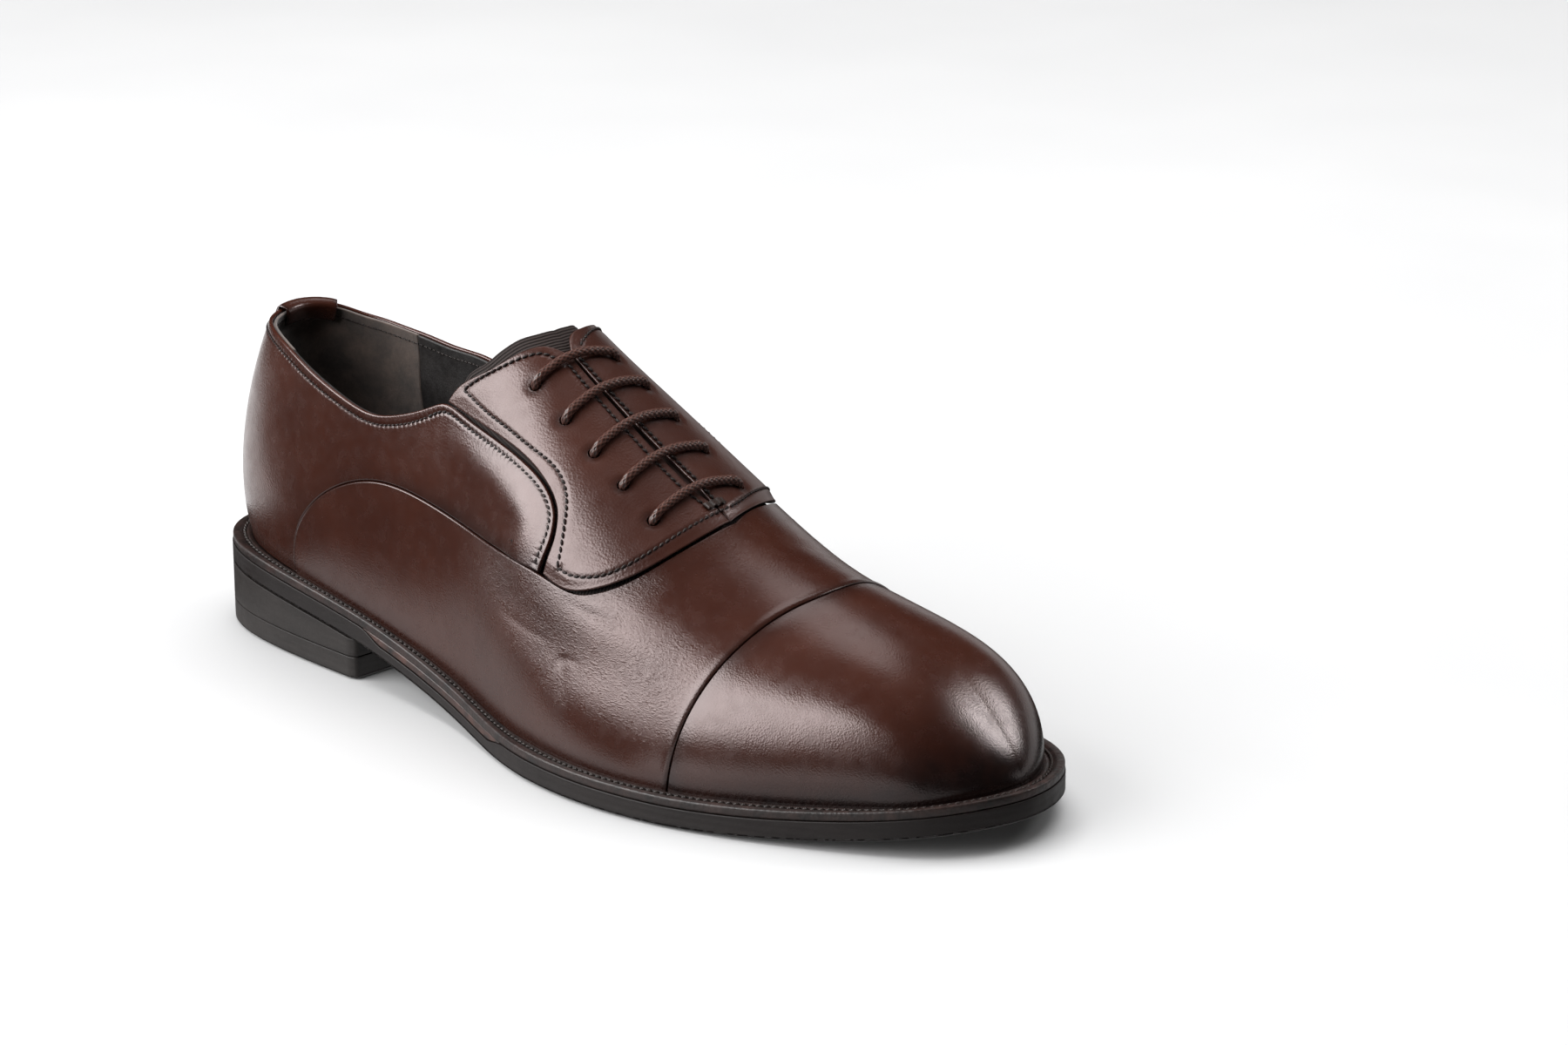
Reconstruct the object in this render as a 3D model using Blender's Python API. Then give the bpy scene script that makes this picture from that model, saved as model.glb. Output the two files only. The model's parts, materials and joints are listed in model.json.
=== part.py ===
"""Right leather oxford shoe with a laced panel on an elastic gusset.

Every piece of the upper is a patch of one lasted foot shape, laid at its own depth
below the outer surface, so the layers nest with a small gap as they do in a real shoe.
Lengths in the tables are millimetres from the back of the heel, x to the toe, y to the
inner side of the foot, z up from the ground. The finished part is in metres.
"""
import math

import bmesh
import bpy
import numpy as np
from mathutils import Vector

MM = 0.001
GAP = 0.3

# ground line of the outsole: x, height. It lies flat on the ground under the ball.
TREAD = [(0, 19), (40, 16.6), (79, 12), (110, 6.3), (135, 2), (158, 0), (190, 0), (222, 0),
         (250, 1.1), (275, 3.6), (302, 8)]
FLAT_FROM = 157.0
FLAT_TO = 223.0
SOLE_STACK = 8.7
OUTSOLE_T = 5.6
WAIST_T = 3.3
HEEL_BREAST = 79.0
TOP_LIFT_T = 6.5

# edge of the sole in plan, heel back first, along the outer side, round the toe and back
SOLE_EDGE = [(0, 0), (4, -18), (14, -27.5), (30, -33), (60, -36), (90, -37), (120, -40.5),
             (140, -45.5), (164, -53), (180, -55.8), (194, -56.3), (208, -55), (224, -51.5),
             (244, -44.2), (258.5, -37.3), (273, -29.5), (287, -20), (296, -9.5), (301.5, 3),
             (300.5, 16), (293, 30), (281, 41), (266, 48.5), (248, 52.3), (228, 53.2), (205, 51),
             (180, 45), (155, 38), (125, 33), (92, 31.5), (60, 33), (30, 32), (14, 27), (4, 17)]

# lasted shape: station, feather x, feather y outer side, feather y inner side,
# crest x, crest y, crest z
STATIONS = [(0.00, 3.0, 0, 0, 71.5, 0, 150),
            (0.05, 8.2, -15, 14, 73, 0, 150),
            (0.10, 21, -25, 23.5, 76, 0, 150.5),
            (0.16, 40, -30.5, 27.8, 80, -1, 152.5),
            (0.24, 66, -33, 28.5, 86, -2.5, 154),
            (0.33, 95, -34.2, 27.5, 101, -4.5, 142.5),
            (0.42, 124, -37.5, 29.5, 125, -6, 121),
            (0.52, 156, -46.3, 36, 156, -6.5, 98.5),
            (0.62, 188, -52, 45, 187, -5.5, 78),
            (0.72, 219, -48.3, 48, 217, -1.5, 62),
            (0.82, 250, -36, 46, 247, 4, 51.5),
            (0.90, 274, -24.5, 38, 271, 7.2, 42.5),
            (0.96, 289.5, -12, 25, 287.5, 8.2, 29.5),
            (1.00, 297, 7.5, 7.5, 297, 7.5, 16)]
# section shape: station, rise of the lower handle, bulge, reach of the upper handle
SECTIONS = [(0.00, .32, 14, .55), (0.10, .34, 12.5, .55), (0.24, .45, 7, .60), (0.33, .50, 5, .60),
            (0.42, .55, 4, .58), (0.52, .58, 4, .68), (0.62, .58, 4, .56), (0.72, .60, 3.5, .42),
            (0.82, .62, 3, .57), (0.90, .64, 2, .70), (1.00, .62, 0, .60)]

# seams as (station, distance from the crest), 1 is the feather edge and 0 the crest
CAP_SEAM = [(-1, .725), (-.86, .732), (-.61, .746), (-.42, .758), (-.2, .771), (0, .777),
            (.23, .766), (.5, .751), (.75, .739), (1, .731)]
WING_OUTER = [(.184, 1.0), (.186, .97), (.196, .915), (.218, .863), (.25, .820), (.30, .776),
              (.344, .752), (.394, .732), (.482, .683), (.56, .619), (.597, .593), (.618, .555),
              (.642, .467), (.660, .33), (.670, .17), (.672, 0)]
WING_INNER = [(.184, 1.0), (.186, .97), (.196, .915), (.218, .863), (.25, .820), (.30, .776),
              (.344, .752), (.394, .732), (.482, .680), (.555, .605), (.590, .535), (.617, .435),
              (.642, .293), (.658, .15), (.672, 0)]
TOPLINE = [(0, .562), (.06, .566), (.10, .572), (.15, .597), (.20, .635), (.24, .660), (.28, .670),
           (.31, .658), (.345, .617), (.37, .573), (.386, .542), (.402, .527), (.426, .511),
           (.468, .471), (.4917, .447), (.515, .428), (.5295, .423), (.5427, .429), (.5518, .447),
           (.5566, .469), (.5595, .510)]
DROP_INNER = [(0, 0), (.037, .003), (.06, .012), (.085, .026), (.11, .033), (.137, .036), (.165, .033),
              (.20, .025), (.24, .008), (.28, 0), (.70, 0)]
LINING_TOP = [(0, .564), (.06, .568), (.10, .574), (.15, .599), (.20, .637), (.24, .662),
              (.28, .672), (.31, .660), (.345, .619), (.37, .576), (.392, .540), (.43, .530),
              (.47, .508), (.51, .490), (.55, .520), (.60, .560)]
SLIT = [(.470, -.066), (.54, -.042), (.60, -.028), (.70, -.026)]
SLIT_HALF = [(.47, .0045), (.55, .008), (.628, .016), (.640, .010), (.648, .0028), (.70, .0028)]

FACING_TOP = [(.396, .521), (.406, .467), (.430, .377), (.448, .280), (.461, .183), (.468, .133),
              (.476, .098), (.486, .075)]
FACING_TOP_INNER = [(.396, .521), (.404, .467), (.424, .377), (.440, .280), (.456, .170),
                    (.466, .060), (.472, -.010), (.486, -.058)]
FACING_SIDE = [(.396, .521), (.412, .509), (.4466, .477), (.470, .451), (.493, .427), (.5157, .410),
               (.5343, .408), (.549, .418), (.5585, .438), (.5635, .466), (.5665, .502), (.5667, .545),
               (.566, .588)]
ELASTIC_SIDE = [(.398, .556), (.43, .560), (.47, .545), (.51, .522), (.535, .530), (.550, .555),
                (.562, .590), (.572, .612)]
ELASTIC_TOP = [(.398, .556), (.403, .45), (.416, .388), (.4245, .333), (.4325, .2755), (.4425, .193),
               (.452, .099), (.456, 0)]
ELASTIC_BOTTOM = {-1: [(.572, .612), (.600, .622), (.632, .590), (.662, .480), (.680, .340),
                       (.691, .170), (.694, 0)],
                  1: [(.572, .612), (.602, .585), (.632, .480), (.660, .330), (.679, .170),
                      (.694, 0)]}
LINER_SIDE = [(.418, .452), (.452, .425), (.500, .375), (.530, .350), (.548, .385), (.558, .44),
              (.568, .515)]
LINER_TOP = [(.418, .452), (.442, .36), (.461, .27), (.474, .18), (.484, .10), (.490, 0)]
LINER_BOTTOM = {-1: [(.568, .515), (.590, .500), (.615, .420), (.635, .300), (.648, .160), (.652, 0)],
                1: [(.568, .515), (.580, .460), (.600, .360), (.625, .220), (.643, .090), (.652, 0)]}

# eyelet positions down the panel: station and distance from the crest on each side
EYELETS = [(.484, -.250, .496, .117), (.524, -.232, .525, .143), (.560, -.226, .559, .144),
           (.595, -.229, .594, .148), (.632, -.250, .634, .160)]
EYELET_R = 1.9
LACE_R = 1.6

# stations round the foot, close together at the heel and the toe
HEEL_COLS = [.015, .032, .055, .085, .12, .16]
RIM = [0, .012, .025, .04, .06, .085, .12, .16, .2, .25, .3, .36, .42, .48, .54, .6, .66, .71, .755,
       .8, .84, .875, .9, .922, .94, .955, .967, .978, .989, 1.0]
SOLE_X = [0, .6, 2, 4.5, 8, 12.5, 18, 25, 34, 45, 57, 69, 79, 85.5, 87, 89, 92, 100, 110, 120, 130, 140,
          148, 151, 153.5, 155.5, 158, 160, 175, 190, 205, 222, 235, 248, 260, 270, 279, 286, 291.5,
          296, 299, 301, 301.8]

NAILS = [(26, -12), (26, 11), (52, -13), (52, 12)]

# throat seam that the lace panel lifts on: a point of the hinge line, which runs along y
HINGE = (199.454, -1.552, 68.0)
PANEL = ("facing_outer", "facing_inner", "facing_lining", "bar_tack", "lace_bar_1", "lace_bar_2",
         "lace_bar_3", "lace_bar_4", "lace_bar_5")

# depths below the outer surface: outer face, inner face
VAMP_D = (0.0, 1.3)
QUARTER_D = (0.35, 1.6)
UNDERLAP_D = (1.6, 2.85)
COUNTER_D = (2.1, 2.9)
PUFF_D = (1.6, 2.5)
LINING_D = (3.2, 4.0)
FACING_D = (-1.3, 0.0)
LINER_D = (0.3, 1.1)
ELASTIC_D = (1.95, 2.85)
ELASTIC_DEEP = 1.0
FLANGE_IN = 9.0
FLANGE_DOWN = 2.8

MATERIALS = {
    "calf": ((0.088, 0.032, 0.022), 0.36, 0.0),
    "calf_dark": ((0.045, 0.018, 0.013), 0.42, 0.0),
    "lining_black": ((0.012, 0.011, 0.011), 0.55, 0.0),
    "suede": ((0.060, 0.034, 0.026), 0.9, 0.0),
    "elastic": ((0.018, 0.015, 0.014), 0.85, 0.0),
    "lace": ((0.055, 0.024, 0.017), 0.5, 0.0),
    "rubber": ((0.020, 0.018, 0.017), 0.6, 0.0),
    "welt": ((0.022, 0.013, 0.011), 0.5, 0.0),
    "midsole": ((0.050, 0.026, 0.020), 0.6, 0.0),
    "board": ((0.42, 0.30, 0.18), 0.85, 0.0),
    "cork": ((0.34, 0.21, 0.11), 0.9, 0.0),
    "foam": ((0.05, 0.045, 0.04), 0.85, 0.0),
    "stiffener": ((0.55, 0.50, 0.42), 0.8, 0.0),
    "steel": ((0.45, 0.46, 0.47), 0.35, 1.0),
}


def clear_scene():
    for obj in list(bpy.data.objects):
        bpy.data.objects.remove(obj, do_unlink=True)
    for mesh in list(bpy.data.meshes):
        bpy.data.meshes.remove(mesh)


def new_collection(name):
    col = bpy.data.collections.new(name)
    bpy.context.scene.collection.children.link(col)
    return col


def spline(t, xs, ys):
    """Natural cubic spline through the points."""
    x = np.asarray(xs, float)
    y = np.asarray(ys, float)
    n = len(x)
    h = np.diff(x)
    a = np.zeros((n, n))
    r = np.zeros(n)
    a[0, 0] = 1
    a[-1, -1] = 1
    for i in range(1, n - 1):
        a[i, i - 1] = h[i - 1]
        a[i, i] = 2 * (h[i - 1] + h[i])
        a[i, i + 1] = h[i]
        r[i] = 6 * ((y[i + 1] - y[i]) / h[i] - (y[i] - y[i - 1]) / h[i - 1])
    m = np.linalg.solve(a, r)
    t = np.clip(np.asarray(t, float), x[0], x[-1])
    k = np.clip(np.searchsorted(x, t) - 1, 0, n - 2)
    left = x[k + 1] - t
    right = t - x[k]
    w = h[k]
    bend = (m[k] * left ** 3 + m[k + 1] * right ** 3) / (6 * w)
    return bend + (y[k] / w - m[k] * w / 6) * left + (y[k + 1] / w - m[k + 1] * w / 6) * right


def smooth(t, a, b):
    """Smooth step from 0 at a to 1 at b."""
    k = np.clip((np.asarray(t, float) - a) / (b - a), 0, 1)
    return k * k * (3 - 2 * k)


def through(points, t):
    """Values of a curve given as (t, value) pairs."""
    return spline(t, [p[0] for p in points], [p[1] for p in points])


def tread(x):
    """Height of the underside of the outsole above the ground."""
    z = np.maximum(0.0, through(TREAD, x))
    flat = (np.asarray(x) > FLAT_FROM) & (np.asarray(x) < FLAT_TO)
    return np.where(flat, 0.0, z)


def closed_curve(points, count=720):
    """Dense closed curve through the points, starting at the first."""
    p = np.array(points, float)
    ext = np.vstack([p[-4:], p, p[:5]])
    d = np.r_[0, np.cumsum(np.sqrt(np.linalg.norm(np.diff(ext, axis=0), axis=1)))]
    t = np.linspace(d[4], d[4 + len(p)], count, endpoint=False)
    return np.stack([spline(t, d, ext[:, 0]), spline(t, d, ext[:, 1])], -1)


EDGE = closed_curve(SOLE_EDGE)
X_MID = 0.5 * (EDGE[:, 0].min() + EDGE[:, 0].max())
Y_MID = 0.5 * (EDGE[:, 1].min() + EDGE[:, 1].max())

ST = np.array(STATIONS, float)


def ring_table():
    """Feather line as one closed table over -1 (toe), 0 (heel back), 1 (toe)."""
    outer = [(-r[0], r[1], r[2]) for r in ST[::-1]]
    inner = [(r[0], r[1], r[3]) for r in ST[1:]]
    base = outer + inner
    before = [(r[0] - 2, r[1], r[2]) for r in base[-5:-1]]
    after = [(r[0] + 2, r[1], r[2]) for r in base[1:5]]
    return np.array(before + base + after)


RING = ring_table()


def crest_table():
    """Crest line, carried evenly past the heel and turned down past the toe."""
    rows = [(-r[0], r[4], r[5], r[6]) for r in ST[3:0:-1]]
    rows += [(r[0], r[4], r[5], r[6]) for r in ST]
    tip = ST[-1]
    for r in ST[-2:-4:-1]:
        rows.append((2 - r[0], r[4], 2 * tip[5] - r[5], 2 * tip[6] - r[6]))
    return np.array(rows)


CREST = crest_table()


def section_table():
    rows = [(-r[0], r[1], r[2], r[3]) for r in SECTIONS[3:0:-1]]
    return np.array(rows + list(SECTIONS), float)


SECT = section_table()


def feather(sig):
    x = spline(sig, RING[:, 0], RING[:, 1])
    y = spline(sig, RING[:, 0], RING[:, 2])
    return np.stack([x, y, tread(x) + SOLE_STACK], -1)


def feather_out(sig):
    """Outward direction of the feather line in plan."""
    h = 0.004
    d = feather(np.asarray(sig) + h) - feather(np.asarray(sig) - h)
    out = np.stack([-d[..., 1], d[..., 0], np.zeros_like(d[..., 0])], -1)
    return out / np.linalg.norm(out, axis=-1)[..., None]


def surface(sig, v):
    """Outer surface: sig runs round the foot, v from the feather edge 0 to the crest 1."""
    sig = np.asarray(sig, float)
    s = np.abs(sig)
    f = feather(sig)
    t = np.stack([spline(s, CREST[:, 0], CREST[:, k]) for k in (1, 2, 3)], -1)
    rise, bulge, reach = [spline(s, SECT[:, 0], SECT[:, k]) for k in (1, 2, 3)]
    flat = f - t
    w = np.hypot(flat[..., 0], flat[..., 1]) + 1e-9
    e = np.stack([flat[..., 0] / w, flat[..., 1] / w, np.zeros_like(w)], -1)
    up = np.array([0, 0, 1.0])
    c1 = f + e * bulge[..., None] + up * (rise * (t[..., 2] - f[..., 2]))[..., None]
    c2 = t + e * (w * reach)[..., None]
    v = np.asarray(v, float)[..., None]
    return f * (1 - v) ** 3 + 3 * c1 * v * (1 - v) ** 2 + 3 * c2 * v * v * (1 - v) + t * v ** 3


def normal(sig, v):
    """Outward unit normal of the outer surface."""
    sig = np.asarray(sig, float)
    side = np.where(sig < 0, -1.0, 1.0)
    s = np.minimum(np.abs(sig), 0.992)
    h = 0.003
    a = surface(side * np.maximum(s, h) + h, v) - surface(side * np.maximum(s, h) - h, v)
    near = s < h
    b = surface(sig + h, v) - surface(sig - h, v)
    ds = np.where(near[..., None], b, a)
    sg = side * s
    dv = surface(sg, np.minimum(np.asarray(v) + 0.004, 1)) - surface(sg, np.maximum(v - 0.004, 0))
    n = np.cross(dv, ds)
    n = n / (np.linalg.norm(n, axis=-1)[..., None] + 1e-12)
    tip = smooth(np.abs(sig), 0.985, 1.0)[..., None]
    n = n * (1 - tip) + feather_out(side * 0.9999) * tip
    return n / np.linalg.norm(n, axis=-1)[..., None]


def place(sig, v, depth):
    """Point at a depth below the outer surface. v below 0 runs down and under the insole."""
    sig, v, depth = np.broadcast_arrays(np.asarray(sig, float), v, depth)
    on = surface(sig, np.maximum(v, 0))
    p = on - normal(sig, np.maximum(v, 0)) * depth[..., None]
    k = np.clip(-v, 0, 1)[..., None]
    inward = -feather_out(sig)
    low = feather(sig) + inward * depth[..., None]
    low[..., 2] = tread(low[..., 0]) + SOLE_STACK - FLANGE_DOWN + depth
    end = feather(sig) + inward * FLANGE_IN
    end[..., 2] = tread(end[..., 0]) + SOLE_STACK - FLANGE_DOWN + depth
    down = p + (low - p) * np.minimum(2 * k, 1)
    down = down + (end - low) * np.maximum(2 * k - 1, 0)
    return np.where(k > 0, down, p)


def chart(s, u, depth):
    """Same, from the station and the signed distance from the crest, outer side negative."""
    u = np.asarray(u, float)
    side = np.where(u < 0, -1.0, 1.0)
    return place(np.asarray(s) * side, 1 - np.abs(u), depth)


def to_world(p):
    q = np.array(p, float)
    q[..., 0] -= X_MID
    q[..., 1] -= Y_MID
    return q * MM


def material(name):
    mat = bpy.data.materials.get(name)
    if mat:
        return mat
    colour, rough, metal = MATERIALS[name.rsplit("__", 1)[0]]
    mat = bpy.data.materials.new(name)
    mat.use_nodes = True
    shader = mat.node_tree.nodes["Principled BSDF"]
    shader.inputs["Base Color"].default_value = (*colour, 1)
    shader.inputs["Roughness"].default_value = rough
    shader.inputs["Metallic"].default_value = metal
    return mat


def add_mesh(name, verts, faces, mat, col):
    """One closed object from points in millimetres."""
    mesh = bpy.data.meshes.new(name)
    mesh.from_pydata([tuple(p) for p in to_world(verts)], [], faces)
    bm = bmesh.new()
    bm.from_mesh(mesh)
    bmesh.ops.remove_doubles(bm, verts=bm.verts, dist=0.00002)
    bmesh.ops.dissolve_degenerate(bm, edges=bm.edges, dist=0.000005)
    bmesh.ops.recalc_face_normals(bm, faces=bm.faces)
    bm.to_mesh(mesh)
    bm.free()
    obj = bpy.data.objects.new(name, mesh)
    obj.data.materials.append(material(mat + "__" + name))
    col.objects.link(obj)
    for poly in mesh.polygons:
        poly.use_smooth = True
    return obj


def shell(name, outer, inner, mat, col, open_end=False):
    """Closed sheet between two matching grids of points."""
    m, n = outer.shape[:2]
    verts = np.concatenate([outer.reshape(-1, 3), inner.reshape(-1, 3)])
    base = m * n
    faces = []
    for i in range(m - 1):
        for j in range(n - 1):
            a, b = i * n + j, i * n + j + 1
            c, d = a + n, b + n
            faces.append((a, b, d, c))
            faces.append((base + a, base + c, base + d, base + b))
    rim = []
    rim += [(j, j + 1) for j in range(n - 1)]
    rim += [((m - 1) * n + j + 1, (m - 1) * n + j) for j in range(n - 1)]
    rim += [((i + 1) * n, i * n) for i in range(m - 1)]
    if not open_end:
        rim += [(i * n + n - 1, (i + 1) * n + n - 1) for i in range(m - 1)]
    for a, b in rim:
        faces.append((b, a, base + a, base + b))
    return add_mesh(name, verts, faces, mat, col)


def walk(points, count):
    """Evenly spaced points along a smooth curve through (station, distance) pairs."""
    p = np.array(points, float)
    scaled = p * np.array([300, 105])
    d = np.r_[0, np.cumsum(np.sqrt(np.linalg.norm(np.diff(scaled, axis=0), axis=1)))]
    fine = np.linspace(0, d[-1], 400)
    c = np.stack([spline(fine, d, p[:, 0]), spline(fine, d, p[:, 1])], -1)
    length = np.r_[0, np.cumsum(np.linalg.norm(np.diff(c * [300, 105], axis=0), axis=1))]
    want = np.linspace(0, length[-1], count)
    return np.stack([np.interp(want, length, c[:, 0]), np.interp(want, length, c[:, 1])], -1)


def coons(side, centre, top, bottom, rows, cols):
    """Grid of (station, distance) inside four edges that share their corners."""
    a = np.linspace(0, 1, rows)[:, None, None]
    b = np.linspace(0, 1, cols)[None, :, None]
    left, right = walk(side, rows)[:, None], walk(centre, rows)[:, None]
    up, down = walk(top, cols)[None], walk(bottom, cols)[None]
    corner = (1 - a) * (1 - b) * left[0, 0] + (1 - a) * b * right[0, 0]
    corner = corner + a * (1 - b) * left[-1, 0] + a * b * right[-1, 0]
    return (1 - b) * left + b * right + (1 - a) * up + a * down - corner


# ---------------------------------------------------------------- sole and heel

def split_edge(curve, count=0, x_max=None, x_min=None, stations=None):
    """Matching points on the outer and inner side of a closed outline, heel to toe."""
    toe = int(np.argmax(curve[:, 0]))
    heel = int(np.argmin(curve[:, 0]))
    n = len(curve)
    outer = curve[np.arange(heel, heel + (toe - heel) % n + 1) % n]
    inner = curve[np.arange(heel, heel - (heel - toe) % n - 1, -1) % n]
    if outer[len(outer) // 2, 1] > inner[len(inner) // 2, 1]:
        outer, inner = inner, outer
    lo = curve[:, 0].min() if x_min is None else x_min
    hi = curve[:, 0].max() if x_max is None else x_max
    k = np.linspace(0, 1, max(count, 2))
    if x_min is None and x_max is None:
        k = 0.5 - 0.5 * np.cos(np.pi * k)
    elif x_min is None:
        k = 1 - np.cos(0.5 * np.pi * k)
    xs = lo + (hi - lo) * k
    if stations is not None:
        xs = np.array(stations, float)
        if x_min is None:
            xs = np.r_[curve[:, 0].min(), xs[xs > curve[:, 0].min() + 0.2]]
        if x_max is None:
            xs = np.r_[xs[xs < curve[:, 0].max() - 0.2], curve[:, 0].max()]
        else:
            xs = xs[xs <= x_max]
        if x_min is not None:
            xs = xs[xs >= x_min]
    pair = []
    for half in (outer, inner):
        x = np.maximum.accumulate(half[:, 0])
        pair.append(np.stack([xs, np.interp(xs, x, half[:, 1])], -1))
    return pair


def slab(name, pair, z_low, z_high, mat, col):
    """Plate between an outer and an inner edge, with heights given over x."""
    outer, inner = pair
    third = [outer + (inner - outer) * k for k in (0, 0.5, 1)]
    grid = np.stack(third, 1)
    low = np.dstack([grid, z_low(grid[..., 0])])
    high = np.dstack([grid, z_high(grid[..., 0])])
    return shell(name, high, low, mat, col)


def offset_line(sig, amount):
    """Closed line at a distance inside the feather line."""
    return (feather(sig) - feather_out(sig) * amount)[..., :2]


def inset(curve, amount):
    d = np.roll(curve, -1, 0) - np.roll(curve, 1, 0)
    n = np.stack([-d[:, 1], d[:, 0]], -1)
    n /= np.linalg.norm(n, axis=1)[:, None]
    centre = curve.mean(0)
    if ((curve + n - centre) ** 2).sum() > ((curve - centre) ** 2).sum():
        n = -n
    return curve + n * amount


def outsole_top(x):
    waist = smooth(x, 82, 92) * (1 - smooth(x, 148, 160))
    return tread(x) + OUTSOLE_T + (WAIST_T - OUTSOLE_T) * waist


def build_sole(col):
    build = {}
    pair = split_edge(EDGE, stations=SOLE_X)
    build["outsole"] = slab("outsole", pair, tread, outsole_top, "rubber", col)
    waist = split_edge(inset(EDGE, 0.6), x_max=155.5, x_min=85.5, stations=SOLE_X)
    slab("waist_midsole", waist, lambda x: outsole_top(x) + GAP,
         lambda x: tread(x) + OUTSOLE_T, "midsole", col)
    heel = split_edge(EDGE, x_max=HEEL_BREAST, stations=SOLE_X)
    build["heel_block"] = slab("heel_block", heel, lambda x: 0 * x + TOP_LIFT_T + GAP,
                               lambda x: tread(x) - GAP, "rubber", col)
    slab("heel_top_lift", heel, lambda x: 0 * x, lambda x: 0 * x + TOP_LIFT_T, "rubber", col)
    build_welt(col)
    sig = np.linspace(-1, 1, 721)[:-1]
    board = split_edge(offset_line(sig, 2.7), 34)
    build["insole_board"] = slab("insole_board", board, lambda x: tread(x) + 7.5,
                                 lambda x: tread(x) + 10.3, "board", col)
    sock = split_edge(offset_line(sig, 5.2), 24, x_max=283)
    slab("sock_liner", sock, lambda x: tread(x) + 10.6, lambda x: tread(x) + 11.8,
         "lining_black", col)
    pad = split_edge(offset_line(sig, 9), 10, x_max=74)
    slab("heel_pad", pad, lambda x: tread(x) + 12.1, lambda x: tread(x) + 15.1, "foam", col)
    cork = split_edge(offset_line(sig, FLANGE_IN + 0.5), 14, x_max=282, x_min=134)
    slab("cork_filler", cork, lambda x: tread(x) + 5.9, lambda x: tread(x) + 7.2, "cork", col)
    xs = np.linspace(32, 128, 11)
    shank = [np.stack([xs, 0 * xs - 8], -1), np.stack([xs, 0 * xs + 5], -1)]
    slab("shank", shank, lambda x: tread(x) + 5.95, lambda x: tread(x) + 7.2, "steel", col)
    return build


def build_welt(col):
    """Stitched welt all round, from the feather line out to the sole edge."""
    sig = np.r_[-np.array(RIM[:0:-1]), RIM[:-1]]
    inner = offset_line(sig, -0.4)
    out = feather_out(sig)[..., :2]
    edge = inset(EDGE, 0.25)
    reach = []
    for p, n in zip(inner, out):
        d = edge - p
        along = d @ n
        across = np.abs(d[:, 0] * n[1] - d[:, 1] * n[0])
        ok = along > 0
        reach.append(along[ok][np.argmin(across[ok])])
    outer = inner + out * np.array(reach)[:, None]
    low, high = SOLE_STACK - 2.8, SOLE_STACK - 0.3
    prof = [(inner, low), (outer, low), (outer, high), (inner, high)]
    rings = [np.dstack([p[:, 0], p[:, 1], tread(p[:, 0]) + z])[0] for p, z in prof]
    verts = np.concatenate(rings)
    n = len(sig)
    faces = []
    for k in range(4):
        for i in range(n):
            j = (i + 1) % n
            a, b = k * n, ((k + 1) % 4) * n
            faces.append((a + i, a + j, b + j, b + i))
    add_mesh("welt", verts, faces, "welt", col)


def build_nails(col, cut, parts):
    for k, (x, y) in enumerate(NAILS):
        seat = float(tread(np.array(x)))
        name = "heel_nail_%d" % (k + 1)
        prof = [(0, 8.6), (0.9, 9.4), (1.2, 10.5), (1.2, seat + 9.75), (2.0, seat + 9.75),
                (2.0, seat + 10.2), (0, seat + 10.2)]
        turn(name, prof, x, y, "steel", col)
        long_cut = cylinder(name + "_hole", x, y, 8.2, seat + 12, 1.5, cut)
        head_cut = cylinder(name + "_seat", x, y, seat + 9.45, seat + 12, 2.3, cut)
        for key in ("insole_board", "outsole", "heel_block"):
            subtract(parts[key], long_cut)
        subtract(parts["insole_board"], head_cut)


def turn(name, profile, x, y, mat, col, sides=10):
    """Body of revolution about a vertical axis."""
    verts = []
    faces = []
    for r, z in profile:
        for k in range(sides):
            a = 2 * math.pi * k / sides
            verts.append((x + r * math.cos(a), y + r * math.sin(a), z))
    for i in range(len(profile) - 1):
        for k in range(sides):
            q = (k + 1) % sides
            faces.append((i * sides + k, i * sides + q, (i + 1) * sides + q, (i + 1) * sides + k))
    obj = add_mesh(name, np.array(verts), faces, mat, col)
    return obj


def cylinder(name, x, y, z0, z1, r, col, sides=10):
    bpy.ops.mesh.primitive_cylinder_add(vertices=sides, radius=r * MM, depth=(z1 - z0) * MM)
    obj = bpy.context.active_object
    obj.name = name
    obj.location = Vector(to_world(np.array([x, y, 0.5 * (z0 + z1)])))
    return as_cutter(obj, col)


def as_cutter(obj, col):
    for c in list(obj.users_collection):
        c.objects.unlink(obj)
    col.objects.link(obj)
    obj.hide_render = True
    obj.display_type = 'WIRE'
    return obj


def subtract(obj, cutter):
    mod = obj.modifiers.new(cutter.name, 'BOOLEAN')
    mod.operation = 'DIFFERENCE'
    mod.solver = 'EXACT'
    mod.object = cutter


# ---------------------------------------------------------------- upper

def wing(side, count=25):
    """Vamp edge as (station, signed distance), from the feather to the crest."""
    pts = walk(WING_OUTER if side < 0 else WING_INNER, count)
    return np.stack([pts[:, 0], pts[:, 1] * side], -1)


def build_vamp(col):
    outer = wing(-1)
    inner = wing(1)[::-1][1:]
    edge = np.vstack([outer, inner])
    edge = np.vstack([[edge[0], edge[0]], edge, [edge[-1], edge[-1]]])
    u = edge[:, 1].copy()
    u[:2] = (-2.0, -1.5)
    u[-2:] = (1.5, 2.0)
    end = through(CAP_SEAM, np.clip(u, -1, 1)) - 0.0007
    rows = np.linspace(0, 1, 11)
    s = edge[:, 0][:, None] + (end - edge[:, 0])[:, None] * rows[None]
    uu = np.repeat(u[:, None], len(rows), 1)
    shell("vamp", chart(s, uu, VAMP_D[0]), chart(s, uu, VAMP_D[1]), "calf", col)


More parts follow.
